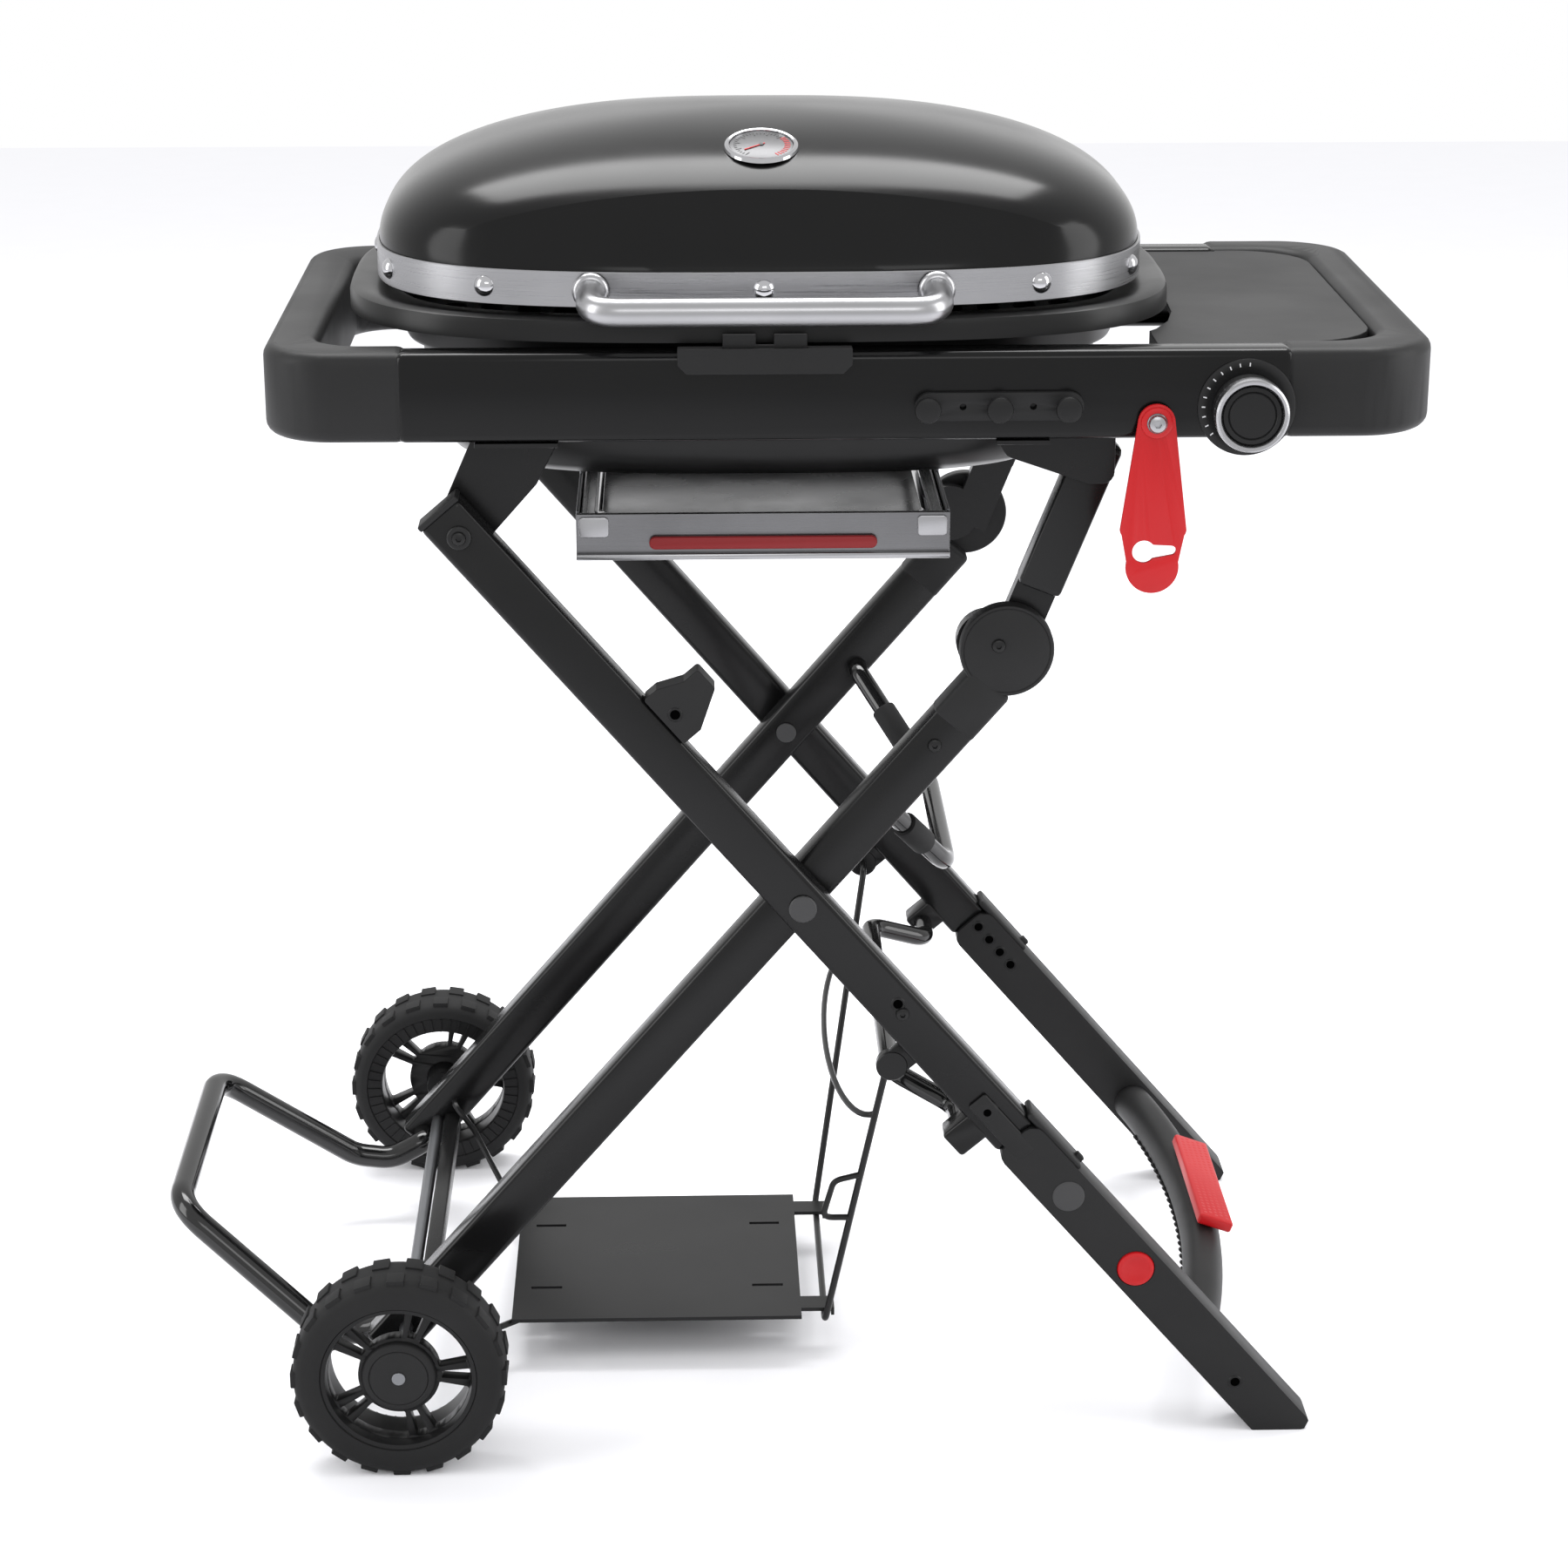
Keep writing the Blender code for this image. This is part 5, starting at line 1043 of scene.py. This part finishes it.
# %% [markdown]
# ## Wheels
# A wheel has a fat rubber tyre with two staggered rows of blocks, and a moulded rim. The rim's
# face is a disc with windows cut out of it: five wide ones leave five spokes, and a slot down the
# middle of each spoke makes it a pair. A barrel joins the face to the tyre, with a ring of thin
# ribs at the side that faces the cart.

# %% Wheels
TYRE = high("tyre_front").z / 2
tyre_half = (high("tyre_front").y - low("tyre_front").y) / 2
HUB = 0.0272
SPOKES = 5
BLOCKS = 20


def sector(first, last, inner, outer, corner, steps=10):
    """A window between two angles and two radii, with rounded corners, round the axle."""
    turns = [math.radians(first + (last - first) * step / steps) for step in range(steps + 1)]
    points = [(axle.x + outer * math.cos(a), axle.z + outer * math.sin(a)) for a in turns]
    points += [(axle.x + inner * math.cos(a), axle.z + inner * math.sin(a)) for a in reversed(turns)]
    ends = (0, steps, steps + 1, 2 * steps + 1)
    return rounded_outline(points, [corner if index in ends else 0 for index in range(len(points))], 5)


for side, sign in sides:
    body, out = "wheel_" + side, (0, sign, 0)
    middle = Vector((axle.x, sign * (high("tyre_rear").y - tyre_half), axle.z))
    edge = tyre_half
    tread = [(0.0560, -edge + 0.0016), (0.0640, -edge + 0.0016), (0.0645, -edge), (0.0690, -edge + 0.0003),
             (0.0728, -edge + 0.0018),
             (0.0752, -edge + 0.0050), (0.0761, -edge + 0.0100), (0.0761, edge - 0.0100),
             (0.0752, edge - 0.0050), (0.0728, edge - 0.0018),
             (0.0690, edge - 0.0003), (0.0600, edge), (0.0565, edge - 0.0006), (0.0560, edge - 0.0020),
             (0.0560, -edge + 0.0016)]
    settled(lathe("tyre_" + side + "_tread", tread, middle, out, 128), body, rubber, "tyre_" + side)
    blocks = []
    for row, shift in ((-1, 0.0), (1, 0.5)):
        for index in range(BLOCKS):
            turn = 2 * math.pi * (index + shift) / BLOCKS
            outward = Vector((math.cos(turn), 0, math.sin(turn)))
            along = Vector((-math.sin(turn), 0, math.cos(turn)))
            blocks.append((middle + outward * (TYRE - 0.0056) + Vector((0, row * 0.0118, 0)), outward, along))
    spread_pieces("tyre_" + side + "_blocks", small_block("block", (0.0125, 0.0150, 0.0055), 0.0012), blocks,
                  body, rubber)

    depth = sorted((sign * (abs(middle.y) + 0.0020), sign * (abs(middle.y) + 0.0125)))
    share = 360 / SPOKES
    windows = [sector(share * i + 72 + 11.5, share * i + 72 + 60.5, HUB + 0.0022, 0.0510,
                      0.0040) for i in range(SPOKES)]
    windows += [sector(share * i + 72 - 5.0, share * i + 72 + 5.0, HUB + 0.0032, 0.0510, 0.0014,
                       3) for i in range(SPOKES)]
    disc = slab("spokes", [round_hole((axle.x, axle.z), 0.0535, 96)] + windows + [round_hole((axle.x, axle.z),
            0.0056)],
                depth[0], depth[1], "XZ", 0.0011, 2)
    settled(baked(disc), body, moulded_smooth, "rim_" + side)
    barrel = [(0.0515, -0.0195), (0.0522, -edge + 0.0012), (0.0638, -edge + 0.0012), (0.0638, -edge + 0.0018),
              (0.0562, -edge + 0.0022),
              (0.0562, edge - 0.0022), (0.0556, edge - 0.0016), (0.0526, edge - 0.0024), (0.0513, 0.0160),
              (0.0513, -0.0180), (0.0515, -0.0195)]
    settled(lathe("rim_" + side + "_barrel", barrel, middle, out, 96), body, moulded_smooth)
    hub = [(0.0054, -0.0185), (0.0130, -0.0185), (0.0136, -0.0175), (0.0150, 0.0020), (0.0235, 0.0040),
           (HUB, 0.0120), (0.0054, 0.0120),
           (0.0054, -0.0185)]
    settled(lathe("rim_" + side + "_hub", hub, middle, out, 64), body, moulded_smooth)
    cap = [(0, 0.0185), (0.0205, 0.0185), (0.0211, 0.0179), (0.0218, 0.0185), (0.0248, 0.0182),
           (0.0265, 0.0168), (HUB, 0.0145), (HUB, 0.0115),
           (0, 0.0115)]
    settled(lathe("rim_" + side + "_cap", cap, middle, out, 96), body, moulded)
    ribs = []
    for index in range(48):
        turn = 2 * math.pi * index / 48
        outward = Vector((math.cos(turn), 0, math.sin(turn)))
        ribs.append((middle + outward * 0.0580 + Vector((0, -sign * (edge - 0.0018), 0)),
                     Vector((0, -sign, 0)), outward))
    spread_pieces("rim_" + side + "_ribs", small_block("rib", (0.0110, 0.0012, 0.0017)), ribs, body,
                  moulded_smooth)

# %% [markdown]
# ## The legs
# The legs are square steel tubes with soft corners. Plastic sleeves, end caps, discs and screws
# dress them, and each is placed by its distance along the leg. The same list of screws serves the
# front and the rear side.

# %% Legs
COVER_SEAT = 0.1859
COVER_FACE = 0.1978
outer_face_y = high("outer_leg_rear").y
outer_back_y = low("outer_leg_rear").y
inner_face_y = high("inner_leg_rear").y
inner_back_y = low("inner_leg_rear").y
LEG_HALF = 0.017
knuckle = pivot("knuckle_turn")
axle_along = -math.hypot(scissor_pivot.x - axle.x, scissor_pivot.z - axle.z)
knuckle_step = knuckle - scissor_pivot
knuckle_along = knuckle_step.dot(inner_along)
disc_centre = knuckle + inner_along * 0.0059 - inner_across * 0.0114

for side, sign in sides:
    depth = sorted((sign * outer_back_y, sign * outer_face_y))
    tube = beam("outer_tube_" + side, on_outer_leg, (-0.0205, 0.592), (-LEG_HALF, LEG_HALF), depth)
    lug = beam("lug", on_outer_leg, (0.555, 0.577), (-0.0390, -LEG_HALF + 0.004), depth, 0.003, 3)
    pivot_drop = pivot("cradle_turn") - fold_pivot
    ear_along, ear_across = pivot_drop.dot(outer_along), pivot_drop.dot(outer_across)
    ear = lathe("ear", [(0, 0), (0.0105, 0), (0.0115, 0.001), (0.0115, 0.007), (0.0105, 0.008), (0, 0.008)],
                on_outer_leg(ear_along, ear_across, sign * (outer_back_y + 0.004)), (0, sign, 0), 40)
    web = beam("web", on_outer_leg, (ear_along - 0.010, ear_along + 0.010), (ear_across, -LEG_HALF + 0.004),
               sorted((sign * (outer_back_y + 0.0045), sign * (outer_back_y + 0.0115))), 0.001, 2)
    settled(merged("outer_leg_tube_" + side, tube, lug, ear, web), "outer_frame", tube_paint,
            "outer_leg_" + side)
    cap = beam("outer_cap_" + side, on_outer_leg, (-0.0232, -0.0190), (-LEG_HALF - 0.0002, LEG_HALF + 0.0002),
               depth, 0.0012, 3)
    settled(cap, "outer_frame", moulded)

    depth = sorted((sign * inner_back_y, sign * inner_face_y))
    tube = beam("inner_tube_" + side, on_inner_leg, (axle_along - 0.027, knuckle_along - 0.030),
                (-LEG_HALF, LEG_HALF), depth)
    settled(tube, "inner_frame", tube_paint, "inner_leg_" + side)
    collar = beam("collar", on_inner_leg, (knuckle_along - 0.062, knuckle_along - 0.018),
                  (-LEG_HALF - 0.0004, LEG_HALF + 0.0004),
                  sorted((sign * (inner_back_y - 0.0002), sign * COVER_FACE)), 0.0044)
    rim_disc = lathe("disc", [(0, 0.0118), (0.0292, 0.0118), (0.0300, 0.0112), (0.0308, 0.0118),
                              (0.0322, 0.0114), (0.0330, 0.0100),
                              (0.0330, 0.0008), (0.0322, 0), (0, 0)],
                     Vector((disc_centre.x, sign * COVER_SEAT, disc_centre.z)), (0, sign, 0), 80)
    settled(merged("knuckle_cover_" + side, collar, rim_disc), "inner_frame", moulded)

print("legs dressed; the axle is", round(-axle_along, 3), "m down the inner leg")

# %% Screws, plugs and sleeves
leg_screws = {"outer_frame": [], "inner_frame": []}
plugs = []
# Places of the small holes. The shade inside each hole is painted on as a dark disc.
painted_shade_holes = []
for side, sign in sides:
    face_y = sign * outer_face_y
    out = (0, sign, 0)
    head_y = sign * (abs(low("fold_pin_front").y) - 0.0003)
    leg_screws["outer_frame"].append((on_outer_leg(0, 0, head_y), out))
    leg_screws["inner_frame"].append((Vector((disc_centre.x - 0.006, sign * 0.1976, disc_centre.z + 0.004)),
                                      out))
    leg_screws["inner_frame"].append((on_inner_leg(knuckle_along - 0.078, 0.001,
                                                   sign * (inner_face_y - 0.0001)), out))
    leg_screws["outer_frame"].append((on_outer_leg(0.4635, 0.001, face_y), out))
    plugs.append((on_outer_leg(0.6505, 0.0, sign * high("foot_rear").y), out))
    painted_shade_holes.append((on_outer_leg(0.4555, 0.0035, face_y), out))
    painted_shade_holes.append((on_outer_leg(0.8480, -0.003, sign * high("foot_rear").y), out))
painted_shade_holes.append((on_outer_leg(0.190, LEG_HALF + 0.010, low("catch_block").y), (0, -1, 0)))
for index in range(4):
    painted_shade_holes.append((on_outer_leg(0.598 + 0.0145 * index, 0.004 - 0.0005 * index, low("foot_rear").y),
                       (0, -1, 0)))
for body, places in leg_screws.items():
    spread_pieces("screws_" + body, button_screw("screw", 0.0050), places, body, wire_paint)
spread_pieces("foot_plugs", domed_cap("plug", 0.0116, 0.0008), plugs, "outer_frame", cap_grey)
# Painted shade: each small hole is a flat disc of near-black paint with no shine, standing in for the shade inside
# the hole.
pit_paint = finish("pit_paint", grey(0.0008), grey(0.0012), (0.8, 0.9), shine=0.0)
pit = lathe("pit", [(0, 0.0003), (0.0030, 0.0003), (0.0034, 0), (0, 0)], (0, 0, 0), (0, 0, 1), 28)
spread_pieces("small_holes", pit, painted_shade_holes, "outer_frame", pit_paint)
hole_rim = lathe("hole_rim", [(0.0034, 0.0), (0.0036, 0.0006), (0.0047, 0.0006), (0.0052, 0.0),
                              (0.0034, 0.0)], (0, 0, 0), (0, 0, 1), 32)
spread_pieces("hole_rims", hole_rim, painted_shade_holes, "outer_frame", moulded_smooth)

for side, sign in sides:
    clip = beam("clip", on_outer_leg, (0.549, 0.606), (-0.0100, 0.0060),
                sorted((sign * (outer_face_y - 0.0005), sign * (outer_face_y + 0.0028))), 0.002, 3)
    boss = lathe("boss", [(0, 0.0034), (0.0070, 0.0034), (0.0082, 0.0024), (0.0086, 0), (0, 0)],
                 on_outer_leg(0.5610, -0.002, sign * (outer_face_y - 0.0005)),
                 (0, sign, 0), 48)
    ridge = beam("ridge", on_outer_leg, (0.583, 0.640), (0.0165, 0.0215),
                 sorted((sign * (outer_back_y - 0.002), sign * (outer_face_y + 0.001))), 0.0016, 3)
    tab = beam("tab", on_outer_leg, (0.634, 0.641), (0.0165, 0.0245),
               sorted((sign * (outer_back_y + 0.008), sign * (outer_back_y + 0.014))), 0.0010, 2)
    settled(merged("foot_clip_" + side, clip, boss, ridge, tab), "outer_frame", moulded)
# Painted shade: the hole in each clip's boss is a near-black disc with no shine.
spread_pieces("clip_holes", lathe("pit", [(0, 0.0003), (0.0026, 0.0003), (0.0029, 0), (0, 0)], (0, 0, 0),
                                  (0, 0, 1), 28),
              [(on_outer_leg(0.5610, -0.002, sign * (outer_face_y + 0.0029)), (0, sign, 0)) for _,
               sign in sides], "outer_frame", pit_paint)

# %% [markdown]
# ## Round tubes and wires
# The rear loop, the two cross tubes and the cradle's wires are routes with rounded corners. A
# symmetric route is written once, and its other half is the same list with y turned round.


# %% Tubes and wires
def both_ways(half_route):
    """A route from one side to the middle, continued to the other side."""
    return half_route + [(x, -y, z) for x, y, z in reversed(half_route)]


inner_side = inner_back_y - SEAM
loop_start = axle + inner_along * -0.0175
loop_far = low("rear_loop").x + 0.0095
loop_turn = inner_side - 0.0135
loop_half = [(loop_start.x, inner_side, loop_start.z), (loop_start.x, loop_turn, loop_start.z),
             (loop_start.x - 0.026, loop_turn - 0.004, loop_start.z - 0.013),
             (loop_start.x - 0.056, loop_turn - 0.005, loop_start.z - 0.009),
             (loop_far, 0.120, loop_start.z + 0.077)]
settled(sweep("loop_tube", both_ways(loop_half), 0.0094, 0.034, 12, 8), "inner_frame", round_paint,
        "rear_loop")

cross_top, cross_low = on_outer_leg(0.566, -0.0295, 0), on_outer_leg(0.520, -0.052, 0)
cross_half = [(cross_top.x, outer_back_y - SEAM, cross_top.z),
              (cross_top.x, inner_back_y - 0.004, cross_top.z),
              (cross_low.x, inner_back_y - 0.026, cross_low.z)]
settled(sweep("outer_cross", both_ways(cross_half), 0.0074, 0.020, 12, 8), "outer_frame", round_paint,
        "outer_cross_tube")

upper, lower = on_inner_leg(0.079, -0.008, 0), on_inner_leg(0.060, -0.094, 0)
brace_half = [(upper.x, inner_side, upper.z), (upper.x, inner_side - 0.014, upper.z),
              (lower.x, 0.095, lower.z)]
settled(sweep("inner_brace", both_ways(brace_half), 0.0074, 0.034, 12, 8), "inner_frame", round_paint,
        "inner_cross_tube")
sleeve = lathe("sleeve", [(0.0070, 0), (0.0092, 0.0006), (0.0096, 0.002), (0.0096, 0.032), (0.0092, 0.0334),
                          (0.0070, 0.034), (0.0070, 0)],
               (0, 0, -0.017), (0, 0, 1), 40)
brace_top, brace_foot = Vector(brace_half[1]), Vector(brace_half[2])
sleeve_way = (brace_foot - brace_top).normalized()
sleeve_places = []
for _, sign in sides:
    spot = brace_top.lerp(brace_foot, 0.5)
    sleeve_places.append(((spot.x, sign * spot.y, spot.z), (sleeve_way.x, sign * sleeve_way.y, sleeve_way.z)))
spread_pieces("brace_sleeves", sleeve, sleeve_places, "inner_frame", rubber)

hang = pivot("cradle_turn")
wire = 0.0026
hook = Vector((low("bottle_cradle").x + wire, 0, low("bottle_cradle").z + wire))
hang_y = outer_back_y - 0.013
cradle_half = [(hang.x, outer_back_y + 0.0118, hang.z), (hang.x, hang_y, hang.z), (hook.x, 0.104, hook.z)]
cradle = sweep("cradle_main", both_ways(cradle_half), wire, 0.010, 8, 5)


def on_cradle(share, y_sign):
    """A point on the straight side wire of the cradle."""
    start, end = Vector(cradle_half[1]), Vector(cradle_half[2])
    spot = start.lerp(end, share)
    return Vector((spot.x, y_sign * spot.y, spot.z))


loop_top, loop_end = on_cradle(0.44, -1), on_cradle(0.60, -1)
side_loop = [loop_top, loop_top + Vector((-0.020, -0.004, -0.003)),
             loop_end + Vector((-0.021, -0.004, 0.002)), loop_end]
side_wire = sweep("cradle_side_loop", side_loop, wire * 0.9, 0.008, 8, 5)
arc_start, arc_end = on_cradle(0.20, 1), on_cradle(0.24, -1)
reach = (arc_start - arc_end).length / 2
arc_middle = (arc_start + arc_end) / 2
keeper = [arc_middle + Vector((-0.030 * math.cos(t), reach * math.sin(t),
                               -0.012 * math.cos(t))) for t in [math.pi / 2 * (1 - k / 12) for k in range(25)]]
keeper_wire = sweep("cradle_keeper", keeper, wire * 0.9, 0, 8, 5)
settled(merged("cradle_wires", cradle, side_wire, keeper_wire), "bottle_cradle", wire_paint, "bottle_cradle")

# %% [markdown]
# ## The foot grip
# The bar between the feet is a moulded grip. It bows outward in the middle, its underside has
# ribs for the fingers, and a red pad with a scaled surface tells the foot where to press.

# %% Grip and pad
grip_low, grip_high = low("cart_grip"), high("cart_grip")
grip_radius = (grip_high.z - grip_low.z) / 2
grip_start_x, grip_far_x = grip_low.x + grip_radius, grip_high.x - grip_radius
grip_z = centre("cart_grip").z


def on_grip(share):
    """A point along the bowed bar, from -1 at the front to 1 at the rear."""
    return Vector((grip_start_x + (grip_far_x - grip_start_x) * (1 - share ** 2), share * grip_high.y,
                   grip_z))


grip_route = [on_grip(-1 + step / 16) for step in range(33)]
settled(sweep("grip_bar", grip_route, grip_radius - 0.0002, 0, 8, 10), "outer_frame", moulded, "cart_grip")
rib_places = []
for step in range(27):
    share = -0.72 + 1.44 * step / 26
    rib_places.append((on_grip(share) + Vector((-0.7, 0, -0.7)).normalized() * (grip_radius - 0.0012),
                       Vector((-0.7, 0, -0.7)), Vector((0, 1, 0))))
spread_pieces("grip_ribs", small_block("rib", (0.0042, 0.0150, 0.0026), 0.0010), rib_places, "outer_frame",
              moulded)

pad_object = bpy.data.objects["tread_pad"]
refined("tread_pad", red, 0.0010)
broad = max(pad_object.data.polygons, key=lambda face: face.area * (face.normal.z > 0.3))
pad_up = broad.normal.normalized()
pad_long = Vector((0, 1, 0))
pad_wide = pad_long.cross(pad_up).normalized()
pad_corners = [vertex.co for vertex in pad_object.data.vertices]
pad_lift = max(corner.dot(pad_up) for corner in pad_corners)
pad_span = [corner.dot(pad_wide) for corner in pad_corners if corner.dot(pad_up) > pad_lift - 0.0004]
pad_reach = [corner.y for corner in pad_corners if corner.dot(pad_up) > pad_lift - 0.0004]
PITCH = 0.0052
scales = []
rows = int((max(pad_span) - min(pad_span)) / (PITCH * 0.87)) - 1
columns = int((max(pad_reach) - min(pad_reach)) / PITCH) - 1
for row in range(rows + 1):
    for column in range(columns):
        across = (row - rows / 2) * PITCH * 0.87 + (max(pad_span) + min(pad_span)) / 2
        deep = (column - (columns - 1) / 2 + 0.5 * (row % 2) - 0.25) * PITCH
        scales.append((pad_wide * across + pad_long * deep + pad_up * (pad_lift - 0.0006), pad_up))
scale = lathe("scale", [(0, 0.0007), (0.0016, 0.0006), (0.0022, 0.0), (0, 0.0)], (0, 0, 0), (0, 0, 1), 6)
spread_pieces("pad_scales", scale, scales, "outer_frame", red)

# %% Release button
button_low, button_high = low("release_button"), high("release_button")
button_seat = Vector((centre("release_button").x, button_high.y, centre("release_button").z))
button_tall = button_high.y - button_low.y
button_radius = (button_high.x - button_low.x) / 2
press = [(0, button_tall - 0.0016), (0.0080, button_tall - 0.0014), (0.0098, button_tall - 0.0002),
         (0.0112, button_tall),
         (button_radius - 0.0006, button_tall - 0.0006), (button_radius, button_tall - 0.002),
         (button_radius, 0), (0, 0)]
settled(lathe("button_cap", press, button_seat, toward_front, 64), "release_button", red, "release_button")

# %% [markdown]
# ## The drip tray's face
# The pan slides out by a pressed steel front: bright ears at its ends, a lip along its foot, and
# a dark red strip with round ends to pull on.

# %% Tray front
strip_low, strip_high = low("drip_pan_grip"), high("drip_pan_grip")
strip_outline = [(strip_low.x, strip_low.z), (strip_high.x, strip_low.z), (strip_high.x, strip_high.z),
                 (strip_low.x, strip_high.z)]
pull = slab("pull_strip", [rounded_outline(strip_outline, 0.0044, 10)], strip_low.y, strip_high.y, "XZ",
            0.0012)
settled(baked(pull), "drip_pan", dark_red, "drip_pan_grip")
pan_low, pan_high = low("drip_pan"), high("drip_pan")
pan_front = pan_low.y
ears = []
for x, way in ((pan_low.x, 1), (pan_high.x, -1)):
    shape = [(x + way * 0.002, pan_high.z - 0.0165), (x + way * 0.0225, pan_high.z - 0.0165),
             (x + way * 0.0225, pan_high.z - 0.002), (x + way * 0.002, pan_high.z - 0.002)]
    ears.append(slab("ear", [rounded_outline(shape, 0.003, 6)], pan_front - 0.0014, pan_front + 0.0006, "XZ",
                     0.0005))
lip = beam("lip", in_world, (pan_low.x, pan_high.x), (pan_low.z, pan_low.z + 0.0042),
           (pan_front - 0.0042, pan_front + 0.001), 0.0008, 2)
settled(merged("pan_trim", *ears, lip), "drip_pan", satin)
inset = 0.012
rim_outline = [(pan_low.x + inset, pan_front + 0.016), (pan_high.x - inset, pan_front + 0.016),
               (pan_high.x - inset, pan_high.y - inset),
               (pan_low.x + inset, pan_high.y - inset)]
rim_inner = [(pan_low.x + inset + 0.006, pan_front + 0.022), (pan_high.x - inset - 0.006, pan_front + 0.022),
             (pan_high.x - inset - 0.006, pan_high.y - inset - 0.006),
             (pan_low.x + inset + 0.006, pan_high.y - inset - 0.006)]
rim = slab("liner_rim", [rounded_outline(rim_outline, 0.022, 10), rounded_outline(rim_inner, 0.017, 10)],
           pan_high.z - 0.0080, pan_high.z - 0.0062, "XY", 0.0006)
settled(baked(rim), "drip_pan", chrome)

# %% Last lines
rest = {"bottle_shelf": wire_paint}
for node, material in rest.items():
    refined(node, material, 0.0008)
